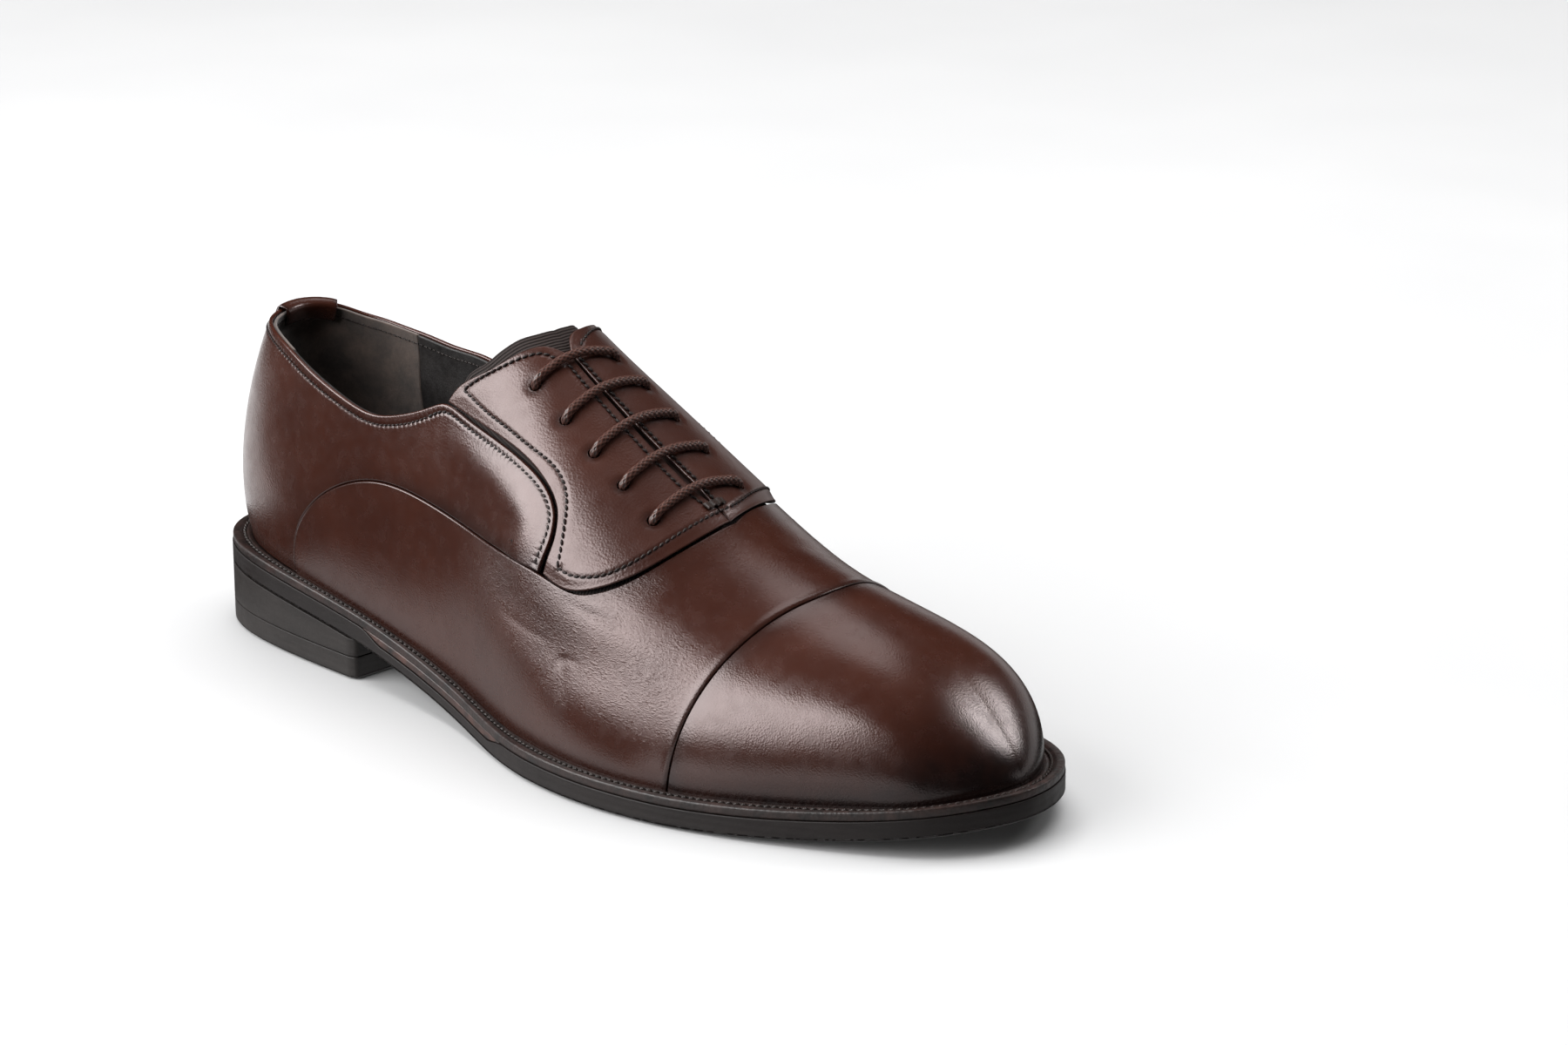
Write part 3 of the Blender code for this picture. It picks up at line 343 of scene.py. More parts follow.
def chart(s, u, depth):
    u = np.asarray(u, float)
    side = np.where(u < 0, -1.0, 1.0)
    return place(np.asarray(s) * side, 1 - np.abs(u), depth)


def to_world(p):
    q = np.array(p, float)
    q[..., 0] -= X_MID
    q[..., 1] -= Y_MID
    return q * MM


def walk(points, count):
    """Evenly spaced points along a smooth curve through (station, distance) pairs."""
    p = np.array(points, float)
    d = eased(p * CHART_MM)
    c = splines(np.linspace(0, d[-1], 600), d, p)
    at = lengths(c * CHART_MM)
    want = np.linspace(0, at[-1], count) if np.isscalar(count) else np.asarray(count) * at[-1]
    return read_off(want, at, c)


def wing(side, count):
    pts = walk(WING_OUTER if side < 0 else WING_INNER, count)
    return np.stack([pts[:, 0], pts[:, 1] * side], -1)


def full_wing(count):
    return np.vstack([wing(-1, count), wing(1, count)[::-1][1:]])


def top_edge(table, sig):
    """Distance of a top edge from the crest. The inner side of the collar sits a little lower."""
    s = np.abs(sig)
    return through(table, s) + np.where(sig > 0, through(DROP_INNER, s), 0)


def top_line(side, count):
    p = walk(TOPLINE + GORE_END, count)
    drop = through(DROP_INNER, p[:, 0]) if side > 0 else 0
    return np.stack([p[:, 0], (p[:, 1] + drop) * side], -1)


def grip_front(k):
    """Station of the front edge of the heel grip, from its foot at 0 to the topline at 1."""
    return .1555 + .028 * (1 - k)


# ---------------------------------------------------------------- chart geometry

def metric(su):
    """Millimetres per unit of s and per unit of u at points of the chart."""
    h = 0.004
    s, u = su[:, 0], su[:, 1]
    a = chart(s + h, u, 0) - chart(s - h, u, 0)
    uu = np.where(np.abs(u) < 2 * h, np.where(u < 0, -2 * h, 2 * h), u)
    uu = np.clip(uu, -1 + h, 1 - h)
    b = chart(s, uu + h * 0.9, 0) - chart(s, uu - h * 0.9, 0)
    return np.linalg.norm(a, axis=1) / (2 * h), np.linalg.norm(b, axis=1) / (1.8 * h)


def shifted(su, mm):
    """Chart curve moved sideways by a distance on the surface, to the left of its run."""
    gs, gu = metric(su)
    d = np.gradient(su, axis=0)
    a, b = d[:, 0] * gs, d[:, 1] * gu
    k = np.hypot(a, b) + 1e-12
    na, nb = -b / k, a / k
    return su + np.stack([na * mm / gs, nb * mm / gu], -1)


def on_surface(su, depth=0.0):
    return chart(su[:, 0], su[:, 1], depth)


def nearest(points, line):
    """Distance in millimetres from each point to a polyline, and how far along it that is."""
    p = points.reshape(-1, 3)
    best = np.full(len(p), 1e9)
    along = np.zeros(len(p))
    run = 0.0
    for a, b in zip(line[:-1], line[1:]):
        d = b - a
        size = math.sqrt(d @ d) + 1e-9
        k = np.clip(((p - a) @ d) / (size * size), 0, 1)
        q = p - a - k[:, None] * d
        q = (q * q).sum(1)
        along = np.where(q < best, run + k * size, along)
        best = np.minimum(best, q)
        run += size
    shape = points.shape[:-1]
    return np.sqrt(best).reshape(shape), along.reshape(shape), run


def distance(points, line):
    return nearest(points, line)[0]


def resample(su, step):
    """Chart curve with an even spacing in millimetres on the surface."""
    fine = np.linspace(0, len(su) - 1, max(400, 3 * len(su)))
    c = read_off(fine, np.arange(len(su)), su)
    at = lengths(on_surface(c))
    return read_off(np.linspace(0, at[-1], max(2, int(round(at[-1] / step)) + 1)), at, c)


def spaced(length, step, first=(), last=()):
    """Positions 0 to 1 over a length in millimetres, with closer ones near the two ends."""
    a = np.array(list(first), float)
    b = length - np.array(list(last), float)[::-1]
    lo = a[-1] if len(a) else 0.0
    hi = b[0] if len(b) else length
    n = max(2, int(math.ceil((hi - lo) / step)) + 1)
    mid = np.linspace(lo, hi, n)
    return np.unique(np.round(np.r_[a, mid, b] / length, 6))


NEAR = (0, .07, .16, .28, .42, .6, .85, 1.3)
ALL_EDGES = ("row0", "row1", "col0", "col1")

SEAM_SU = full_wing(260)
SEAM = on_surface(SEAM_SU)
CAP_U = np.linspace(-1, 1, 200)
CAP = chart(through(CAP_SEAM, CAP_U), CAP_U, 0)
TOP_SU = {side: top_line(side, 360) for side in (-1, 1)}
FEATHER = feather(np.linspace(-1, 1, 500))


# ---------------------------------------------------------------- relief of the worn leather

# valleys and creases of the vamp: points (s, u), half width and depth in mm, crease share
FOLDS = [([(.500, -.738), (.532, -.748), (.573, -.748), (.608, -.740), (.648, -.722),
           (.692, -.700)], 7.0, 1.15, .9),
         ([(.597, -.612), (.614, -.610), (.643, -.592)], 1.2, .36, .7),
         ([(.612, -.578), (.638, -.494), (.662, -.413)], 1.4, .28, .6),
         ([(.511, -.776), (.548, -.768), (.579, -.749)], 1.3, .26, .6),
         ([(.598, -.758), (.604, -.790), (.604, -.846)], 1.3, .42, .8),
         ([(.586, -.838), (.593, -.791), (.604, -.761), (.620, -.750)], 1.2, .34, .7),
         ([(.655, .50), (.675, .62), (.690, .72)], 4.0, .45, .6),
         ([(.625, .62), (.640, .72), (.655, .80)], 3.6, .35, .6),
         ([(.676, -.38), (.690, -.25), (.690, -.12)], 5.0, .20, .2),
         ([(.700, .05), (.705, .22), (.705, .38)], 4.0, .20, .2)]


def folds(p):
    """Depth of the folds at surface points, and how creased the skin is there."""
    deep = np.zeros(p.shape[:-1])
    crease_share = np.zeros(p.shape[:-1])
    for points, w, h, share in FOLDS:
        line = walk(points, 24)
        d, along, run = nearest(p, on_surface(line))
        fade = 0.25 + 0.75 * np.sin(np.clip(along / run, 0, 1) * math.pi) ** 0.6
        deep += h * fade * np.exp(-(d / w) ** 2)
        crease_share = np.maximum(crease_share, share * np.exp(-(d / (1.5 * w + 4)) ** 2))
    return deep, crease_share


# ---------------------------------------------------------------- materials

class Graph:
    """Short names for building one node material. Keywords set inputs of its shader."""

    def __init__(self, name, **inputs):
        self.mat = bpy.data.materials.new(name)
        self.mat.use_nodes = True
        self.tree = self.mat.node_tree
        self.shader = self.tree.nodes["Principled BSDF"]
        for key, value in inputs.items():
            self.shader.inputs[key.replace("_", " ")].default_value = value

    def link(self, a, b):
        self.tree.links.new(a, b)

    def add(self, kind, inputs=None, **props):
        """New node; an input takes a number, a vector, a colour or another node's output."""
        node = self.tree.nodes.new("ShaderNode" + kind)
        for key, value in props.items():
            setattr(node, key, value)
        for key, value in (inputs or {}).items():
            if isinstance(value, bpy.types.NodeSocket):
                self.link(value, node.inputs[key])
            else:
                node.inputs[key].default_value = value
        return node

    def coords(self):
        return self.add("TexCoord").outputs["Object"]

    def attribute(self, name):
        return self.add("Attribute", attribute_name=name).outputs["Fac"]

    def stretch(self, scale):
        return self.add("Mapping", {"Scale": scale, "Vector": self.coords()}).outputs["Vector"]

    def noise(self, scale, detail, rough, vector=None):
        return self.add("TexNoise", {"Scale": scale, "Detail": detail, "Roughness": rough,
                                     "Vector": vector or self.coords()}).outputs["Fac"]

    def cells(self, scale, smoothness):
        inputs = {"Scale": scale, "Smoothness": smoothness, "Vector": self.coords()}
        return self.add("TexVoronoi", inputs, feature='SMOOTH_F1').outputs["Distance"]

    def maths(self, op, a, b=None):
        inputs = {0: a} if b is None else {0: a, 1: b}
        return self.add("Math", inputs, operation=op).outputs[0]

    def times(self, a, b):
        return self.maths('MULTIPLY', a, b)

    def plus(self, a, b):
        return self.maths('ADD', a, b)

    def spread(self, value, lo, hi, to_lo=0.0, to_hi=1.0):
        return self.add("MapRange", {"Value": value, "From Min": lo, "From Max": hi,
                                     "To Min": to_lo, "To Max": to_hi}).outputs["Result"]

    def cloud(self, scale, detail, rough, lo, hi, to_lo=0.0, to_hi=1.0):
        """Noise with its range from lo to hi stretched out."""
        return self.spread(self.noise(scale, detail, rough), lo, hi, to_lo, to_hi)

    def blend(self, factor, a, b):
        a, b = [(*v, 1) if isinstance(v, tuple) else v for v in (a, b)]
        return self.add("Mix", {0: factor, 6: a, 7: b}, data_type='RGBA').outputs[2]

    def bump(self, height, depth, under=None, strength=1.0):
        inputs = {"Strength": strength, "Distance": depth, "Height": height}
        if under:
            inputs["Normal"] = under
        return self.add("Bump", inputs).outputs["Normal"]

    def done(self, colour, relief, rough=None):
        """Feeds the shader and gives back the material."""
        self.link(colour, self.shader.inputs["Base Color"])
        self.link(relief, self.shader.inputs["Normal"])
        if rough:
            self.link(rough, self.shader.inputs["Roughness"])
        return self.mat


BROWN = (0.0255, 0.0066, 0.0036)
BROWN_WARM = (0.0342, 0.0094, 0.0051)
# Darkest brown of the calf, where burnish and painted shade are full.
SHADE_AND_BURNISH_BROWN = (0.0045, 0.0019, 0.0016)
RIB_PITCH = 0.95


def calf(name, grain=0.000024, cell=1900.0, rough=0.25, pull=0.0):
    """Smooth polished calf: pores, fine wrinkles where it is creased, and a darker colour from
    'tone', which holds burnish and painted shade.
    """
    g = Graph(name, Specular_IOR_Level=0.86, Specular_Tint=(1.0, 0.87, 0.86, 1.0))
    crease_share = g.attribute("crease_share")
    flesh = g.blend(g.cloud(38, 3, 0.55, 0.35, 0.68), BROWN, BROWN_WARM)
    mottle = g.cloud(420, 2, 0.6, 0.3, 0.75, 0.0, 0.10)
    flesh = g.blend(mottle, flesh, tuple(c * 0.55 for c in BROWN))
    # 'tone' carries burnish and painted shade; noise varies it.
    burnish_and_shade_mix = g.times(g.attribute("tone"), g.cloud(160, 2, 0.6, 0.25, 0.75, 0.78, 1.16))
    wrinkle = g.noise(760, 3, 0.6, g.stretch((0.7, 1.0, 1.7)))
    wrinkle = g.times(g.maths('ABSOLUTE', g.maths('SUBTRACT', wrinkle, 0.5)), crease_share)
    n = g.bump(g.noise(55, 2, 0.5), 0.00012, g.bump(wrinkle, 0.0005))
    if pull:
        close = g.spread(g.attribute("row"), 0.0, 2.6, 1.0, 0.0)
        beat = g.maths('ABSOLUTE', g.maths('SINE', g.times(g.attribute("beat"), math.pi)))
        n = g.bump(g.times(g.times(close, close), beat), 0.001 * pull, n)
    skin = g.plus(g.cells(cell, 0.5), g.times(g.noise(4200, 2, 0.6), 0.15))
    gloss = g.cloud(260, 2, 0.5, 0.3, 0.7, rough - 0.03, rough + 0.04)
    return g.done(g.blend(g.maths('MINIMUM', burnish_and_shade_mix, 1.0), flesh, SHADE_AND_BURNISH_BROWN), g.bump(skin, grain, n),
                  g.plus(gloss, g.times(crease_share, 0.05)))


def thread(name, colour, rough):
    """Twisted sewing thread."""
    g = Graph(name, Roughness=rough)
    wave = g.add("TexWave", {"Scale": 900, "Distortion": 1.0, "Vector": g.coords()},
                 wave_type='BANDS', bands_direction='DIAGONAL')
    return g.done(g.blend(g.cloud(900, 2, 0.6, 0.3, 0.7), colour, tuple(c * 2.2 for c in colour)),
                  g.bump(wave.outputs["Fac"], 0.00005))


def elastic(name):
    """Dark ribbed elastic webbing: ribs follow the 'rib' distance from its edge."""
    g = Graph(name, Roughness=0.75, Specular_IOR_Level=0.25)
    wave = g.maths('SINE', g.times(g.attribute("rib"), 2 * math.pi / RIB_PITCH))
    fibre = g.noise(2600, 2, 0.6)
    shade = g.plus(g.times(g.spread(wave, -1, 1), 0.8), g.times(fibre, 0.3))
    return g.done(g.blend(shade, (0.0035, 0.0025, 0.0023), (0.036, 0.0265, 0.0245)),
                  g.bump(fibre, 0.00006, g.bump(wave, 0.00012)))


def suede(name):
    """Brushed dark-brown heel lining, rubbed lighter in patches."""
    g = Graph(name, Roughness=0.95, Sheen_Weight=0.25, Sheen_Roughness=0.6)
    nap = g.noise(1500, 3, 0.7)
    tone = g.plus(g.times(g.cloud(75, 4, 0.65, 0.36, 0.66), 0.75), g.times(nap, 0.4))
    return g.done(g.blend(tone, (0.0105, 0.0066, 0.0052), (0.088, 0.058, 0.044)),
                  g.bump(g.noise(240, 2, 0.6), 0.00025, g.bump(nap, 0.00010)))


def lining(name, colour=(0.0075, 0.0065, 0.0065), light=(0.016, 0.0135, 0.013), rough=0.55):
    """Thin smooth lining leather with a fine plate grain."""
    g = Graph(name)
    return g.done(g.blend(g.cloud(90, 3, 0.6, 0.35, 0.65), colour, light),
                  g.bump(g.cells(1400, 0.4), 0.00004, g.bump(g.noise(60, 2, 0.5), 0.0003)),
                  g.cloud(500, 2, 0.5, 0.3, 0.7, rough - 0.08, rough + 0.1))


def rubber(name, colour, light):
    """Dense sole rubber: faint moulding lines round the edge, dust and rub marks."""
    g = Graph(name, Specular_IOR_Level=0.35)
    scuff = g.spread(g.noise(55, 4, 0.7, g.stretch((0.5, 0.5, 2.2))), 0.42, 0.72)
    tone = g.plus(g.times(scuff, 0.7), g.times(g.cloud(1900, 2, 0.6, 0.35, 0.75), 0.3))
    z = g.add("SeparateXYZ", {0: g.coords()}).outputs["Z"]
    level = g.plus(z, g.times(g.noise(25, 2, 0.5), 0.0018))
    line = g.maths('SINE', g.times(level, 2 * math.pi / 0.0021))
    n = g.bump(g.noise(320, 3, 0.6), 0.00010, g.bump(line, 0.00004, strength=0.35))
    return g.done(g.blend(tone, colour, light), g.bump(g.noise(2600, 2, 0.6), 0.000025, n),
                  g.cloud(130, 3, 0.6, 0.3, 0.7, 0.42, 0.60))


def welt_leather(name, light=(0.024, 0.0125, 0.0105)):
    """Black-brown welt: waxed, with a rougher ribbed face."""
    g = Graph(name)
    return g.done(g.blend(g.cloud(240, 3, 0.6, 0.3, 0.7), (0.0055, 0.0038, 0.0035), light),
                  g.bump(g.noise(2200, 2, 0.6), 0.00004, g.bump(g.cells(900, 0.5), 0.00008)),
                  g.cloud(400, 2, 0.6, 0.3, 0.7, 0.34, 0.52))


def board(name):
    """Pale pressed insole board."""
    g = Graph(name, Roughness=0.85)
    fleck = g.cloud(900, 4, 0.75, 0.3, 0.7)
    return g.done(g.blend(fleck, (0.30, 0.21, 0.125), (0.50, 0.37, 0.235)),
                  g.bump(g.noise(1600, 3, 0.7), 0.00008))


def cork(name):
    g = Graph(name, Roughness=0.9)
    crumb = g.add("TexVoronoi", {"Scale": 700, "Vector": g.coords()}, feature='F1')
    shade = g.spread(crumb.outputs["Color"], 0.1, 0.9)
    return g.done(g.blend(shade, (0.17, 0.095, 0.045), (0.44, 0.28, 0.155)),
                  g.bump(g.cells(700, 0.3), 0.00025))


def fibre(name, colour=(0.48, 0.43, 0.36)):
    """Stiffener sheet: short felted fibres set in resin."""
    g = Graph(name, Roughness=0.8)
    strand = g.noise(1300, 4, 0.75, g.stretch((1, 0.35, 1)))
    return g.done(g.blend(g.spread(strand, 0.3, 0.7), tuple(c * 0.75 for c in colour), colour),
                  g.bump(strand, 0.00010))


def steel(name):
    g = Graph(name, Metallic=1.0)
    brush = g.noise(700, 3, 0.6, g.stretch((0.12, 1.0, 1.0)))
    return g.done(g.blend(g.spread(brush, 0.3, 0.7), (0.36, 0.37, 0.38), (0.52, 0.53, 0.54)),
                  g.bump(brush, 0.00002), g.spread(brush, 0.3, 0.7, 0.28, 0.45))


def foam(name):
    """Heel pad: thin lining leather over foam, gently puckered."""
    g = Graph(name, Roughness=0.6)
    black = (0.0085, 0.0075, 0.0075)
    return g.done(g.blend(g.cloud(110, 3, 0.6, 0.35, 0.65), black, tuple(c * 2.2 for c in black)),
                  g.bump(g.cells(1200, 0.5), 0.00005, g.bump(g.noise(120, 2, 0.5), 0.0004)))


def lace_cord(name):
    """Waxed braided cord: painted highlight on each strand crossing, painted shade in the hollows,
    mottled by the wax.
    """
    g = Graph(name)
    wax = g.noise(700, 3, 0.6)
    tone = g.plus(g.times(g.attribute("strand"), 0.75), g.times(wax, 0.4))
    tone = g.spread(tone, 0.15, 1.05)
    return g.done(g.blend(tone, (0.010, 0.0046, 0.0036), (0.085, 0.036, 0.027)),
                  g.bump(g.noise(5200, 2, 0.6), 0.00003), g.spread(wax, 0.3, 0.7, 0.24, 0.40))


# ---------------------------------------------------------------- mesh helpers

def finish_piece(obj, body, node=None):
    """Puts a piece on its body; one that stands for a CAD node hides that node in its place."""
    bpy.context.scene.collection.objects.link(obj)
    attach(obj, body)
    if node:
        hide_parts(node)


def mesh_object(name, verts, faces, mat, values=None):
    mesh = bpy.data.meshes.new(name)
    mesh.from_pydata(to_world(verts).tolist(), [], faces)
    for key, value in (values or {}).items():
        att = mesh.attributes.new(key, 'FLOAT', 'POINT')
        att.data.foreach_set("value", np.asarray(value, np.float32).ravel())
    mesh.materials.append(mat)
    mesh.polygons.foreach_set("use_smooth", [True] * len(mesh.polygons))
    mesh.update()
    return bpy.data.objects.new(name, mesh)


def outward(obj, weld=False):
    """Turns all faces of a closed mesh to point out, with equal points joined if asked."""
    bm = bmesh.new()
    bm.from_mesh(obj.data)
    if weld:
        bmesh.ops.remove_doubles(bm, verts=bm.verts, dist=0.00001)
    bmesh.ops.recalc_face_normals(bm, faces=bm.faces)
    bm.to_mesh(obj.data)
    bm.free()
    return obj


def grid_faces(m, n, start=0, flip=False, ring_rows=False, tube=False):
    """Quads over m rows of n points. ring_rows joins the last row to the first one, and tube
    the last column to the first one."""
    i, j = np.meshgrid(np.arange(m if ring_rows else m - 1), np.arange(n if tube else n - 1),
                       indexing='ij')
    a, b = start + i * n, start + (i + 1) % m * n
    q = (j + 1) % n
    quads = np.stack([a + j, a + q, b + q, b + j], -1).reshape(-1, 4)
    return [tuple(quad) for quad in (quads[:, ::-1] if flip else quads).tolist()]


def rim_faces(m, n):
    """Quads that join the rims of two grids of points."""
    rim = [(j, j + 1) for j in range(n - 1)]
    rim += [(i * n + n - 1, (i + 1) * n + n - 1) for i in range(m - 1)]
    rim += [((m - 1) * n + j + 1, (m - 1) * n + j) for j in range(n - 1)]
    rim += [((i + 1) * n, i * n) for i in range(m - 1)]
    base = m * n
    return [(b, a, base + a, base + b) for a, b in rim]


def caps(m, n, start=0):
    """Faces over the first and the last ring of a tube."""
    last = start + (m - 1) * n
    return [tuple(range(start, start + n)), tuple(range(last + n - 1, last - 1, -1))]


def two_sided(name, outer, inner, mat, values=None, weld=False):
    """Closed piece between two grids of points."""
    m, n = outer.shape[:2]
    verts = np.concatenate([outer.reshape(-1, 3), inner.reshape(-1, 3)])
    faces = grid_faces(m, n) + grid_faces(m, n, m * n, flip=True) + rim_faces(m, n)
    return outward(mesh_object(name, verts, faces, mat, values), weld)


def roll(d, r):
    """How far a rounded edge falls at a distance from it."""
    k = np.clip(d, 0, r)
    return r - np.sqrt(np.maximum(r * r - (r - k) ** 2, 0))


def sheet(name, s, u, top, bottom, mat, free, r=None, tone=0.0, crease_share=0.0, extra=None,
          weld=False):
    """Closed leather layer over a grid of chart points. free names its rounded edges, with
    one radius r for all or, as a dict, a radius each."""
    top, bottom = np.broadcast_to(top, s.shape), np.broadcast_to(bottom, s.shape)
    mid = chart(s, u, 0.5 * (top + bottom))
    lines = {"row0": mid[0], "row1": mid[-1], "col0": mid[:, 0], "col1": mid[:, -1]}
    half = 0.5 * (bottom - top)
    fall = np.zeros(s.shape)
    for key in free:
        size = free[key] if isinstance(free, dict) else r
        fall = np.maximum(fall, roll(distance(mid, lines[key]), np.minimum(half, size)))
    values = {}
    for key, value in {"tone": tone, "crease_share": crease_share, **(extra or {})}.items():
        values[key] = np.tile(np.broadcast_to(value, s.shape).ravel(), 2)
    inner = chart(s, u, bottom - np.minimum(fall, half))
    return two_sided(name, chart(s, u, top + fall), inner, mat, values, weld)


def tubes(name, paths, radius, mat, sides=6):
    """Many short closed round-ended rods in one mesh. Each path is points and an up vector."""
    verts = []
    faces = []
    ang = 2 * math.pi * np.arange(sides) / sides
    for c, up in paths:
        k = len(c)
        t = np.gradient(c, axis=0)
        t /= np.linalg.norm(t, axis=1)[:, None] + 1e-12
        side = np.cross(t, up)
        side /= np.linalg.norm(side, axis=1)[:, None] + 1e-12
        top = np.cross(side, t)
        w = np.sin(np.pi * (np.arange(k) + 0.35) / (k - 0.3)) ** 0.5 * radius
        base = len(verts)
        for i in range(k):
            for a in ang:
                verts.append(c[i] + side[i] * (w[i] * math.cos(a)) + top[i] * (w[i] * math.sin(a)))
        faces += grid_faces(k, sides, base, tube=True) + caps(k, sides, base)
    return outward(mesh_object(name, np.array(verts), faces, mat))


def sewn(at, line, normals, pitch, length, bow, base, slant, across=None):
    """Paths of the stitches of one row, each bowed up and set a little slantwise."""
    count = int(at[-1] // pitch)
    swing = np.linspace(-1, 1, 6) * slant
    rise = np.sin(np.linspace(0, np.pi, 6)) * bow + base
    for k in range(count):
        mid = (k + 0.5) * at[-1] / count
        pts = read_off(mid + length * np.linspace(-0.5, 0.5, 6), at, line)
        up = read_off(mid, at, normals)
        if across is None:
            run = pts[-1] - pts[0]
            side = np.cross(up, run / np.linalg.norm(run))
        else:
            side = read_off(mid, at, across)
        yield pts + up * rise[:, None] + side * swing[:, None], up


def stitches(name, rows, mat, pitch, length, radius, lift=0.0, slant=0.2, body=SHOE):
    """Sewn rows along chart curves. Each row is (chart points, depth of the leather)."""
    paths = []
    for su, depth in rows:
        fine = resample(su, 0.12)
        p = on_surface(fine, depth)
        side = np.where(fine[:, 1] < 0, -1.0, 1.0)
        up = normal(fine[:, 0] * side, np.clip(1 - np.abs(fine[:, 1]), 0, 1))
        paths += sewn(lengths(p), p, up, pitch, length, 0.34, lift - 0.20, slant)
    finish_piece(tubes(name, paths, radius, mat), body)


def channel(p, rows, width, deep, pitch=1.9):
    """Groove that the stitches pull into the leather, the distance to it, and the stitch count."""
    d = np.full(p.shape[:-1], 1e3)
    beat = np.zeros(p.shape[:-1])
    for su in rows:
        one, along, run = nearest(p, on_surface(resample(su, 0.4)))
        beat = np.where(one < d, along / run * int(run // pitch), beat)
        d = np.minimum(d, one)
    return deep * np.exp(-(d / width) ** 2), d, beat


# ---------------------------------------------------------------- seams and rows of stitches

def top_row(side, near):
    """Row of stitches beside the top edge, closer to it along the elastic."""
    su = TOP_SU[side]
    away = near - 0.55 * smooth(np.arange(len(su)), 185, 215)
    line = shifted(su, away * side)
    return line[np.abs(su[:, 1]) < .612 + (su[:, 0] < .5)][10:]


GORE_ROW = {side: top_row(side, 2.5) for side in (-1, 1)}

PANEL_LEFT = [(.413, -.462), (.446, -.443), (.480, -.410), (.510, -.381), (.532, -.360),
              (.550, -.362), (.563, -.395), (.571, -.45), (.577, -.51), (.580, -.560)]
PANEL_RIGHT = [(s, -u) for s, u in PANEL_LEFT]
PANEL_BOTTOM = [(.580, -.560), (.594, -.552), (.609, -.527), (.624, -.485), (.640, -.400),
                (.651, -.290), (.657, -.170), (.659, -.030), (.655, .070), (.643, .180),
                (.627, .300), (.607, .420), (.592, .500), (.580, .560)]
PANEL_TOP_L = [(.413, -.462), (.424, -.415), (.440, -.345), (.453, -.275), (.464, -.205),
               (.474, -.150), (.488, -.115)]
PANEL_TOP_R = [(.413, .462), (.422, .420), (.436, .345), (.449, .260), (.461, .170), (.474, .060),
               (.482, .000)]


def slit_line(offset, s0, s1, count=40):
    """Line beside the slit, at an offset in mm from its edge."""
    s = np.linspace(s0, s1, count)
    half = np.interp(s, [p[0] for p in SLIT_HALF], [p[1] for p in SLIT_HALF])
    side = 1 if offset > 0 else -1
    u = through(SLIT, s) + side * half + offset / 95.0
    return np.stack([s, u], -1)


def panel_rows(side):
    bottom = walk(PANEL_BOTTOM, 160)
    if side < 0:
        return [walk(PANEL_LEFT, 80), bottom[:86], walk(PANEL_TOP_L, 60),
                slit_line(-3.3, .492, .652)]
    return [walk(PANEL_RIGHT, 80), bottom[86:], walk(PANEL_TOP_R, 60),
            slit_line(1.25, .486, .652)]


# ---------------------------------------------------------------- upper pieces

# Darkening that fades with distance from a line: burnish of the finish together with painted shade
# along seams, edges, stitch channels and holes.
def burnish_and_shade(d, width, amount):
    return amount * np.exp(-(np.maximum(d, 0) / width) ** 1.6)


def toe_shade(p):
    """Painted shade, with darker polish at the tip: darker towards the tip of the toe and low on
    its sides.
    """
    x = p[..., 0]
    z = p[..., 2]
    tip = smooth(x, 258, 300) * (0.35 + 0.65 * (1 - smooth(z, 26, 46)))
    low = smooth(x, 205, 262) * (1 - smooth(z, 12, 30)) * 0.55
    return np.clip(tip * 0.8 + low, 0, 0.95)


def build_vamp():
    core = full_wing(np.r_[np.linspace(0, .52, 46), np.linspace(.52, 1, 92)[1:]])
    rows = []
    for d in EDGE_MM:
        line = shifted(core, -d) if d else core.copy()
        line[:, 1] = np.clip(line[:, 1], -1, 1)
        rows.append(np.vstack([line[:1], line[:1], line, line[-1:], line[-1:]]))
    start, u = rows[-1].T
    end_s = through(CAP_SEAM, np.clip(u, -1, 1)) - 0.0003
    gap = CHART_MM[0] * (end_s - start)
    for k in np.linspace(0, 1, 104)[1:-1]:
        rows.append(np.stack([start + (end_s - start) * k * (1 - EDGE_MM[-1] / gap), u], -1))
    for d in EDGE_MM[::-1]:
        rows.append(np.stack([end_s - d / CHART_MM[0], u], -1))
    g = np.stack(rows, 0)
    s, u = g[..., 0], g[..., 1].copy()
    u[:, 0], u[:, 1] = -UNDER[1], -UNDER[0]
    u[:, -1], u[:, -2] = UNDER[1], UNDER[0]
    p = chart(s, u, 0.0)
    deep, crease_share = folds(p)
    seam = distance(p, SEAM)
    cap = distance(p, CAP)
    throat = np.exp(-((p[..., 0] - 192) / 32) ** 2)
    top = deep * (1 - np.exp(-seam / 4)) - 0.25 * np.exp(-((cap - 1.2) / 0.8) ** 2)
    # Burnish and painted shade along the cap seam, the wing seam and the throat; painted shade in
    # the corner over the welt and at the toe.
    tone = burnish_and_shade(cap, 2.2, 0.55) + burnish_and_shade(seam, 0.9, 0.35) + burnish_and_shade(seam, 7, 0.22) * throat
    tone += burnish_and_shade(distance(p, FEATHER), 3.2, 0.5) + toe_shade(p) * 0.6
    # Painted shade in the creases near the wing seam.
    tone += 0.25 * crease_share * np.exp(-(seam / 14) ** 2)
    obj = sheet("vamp_skin", s, u, top, LEATHER_T + np.maximum(top, 0), calf("calf_vamp"),
                free={"row0": 0.45, "row1": 0.22}, tone=np.clip(tone, 0, 1),
                crease_share=np.clip(crease_share, 0, 1))
    finish_piece(obj, SHOE, "vamp")


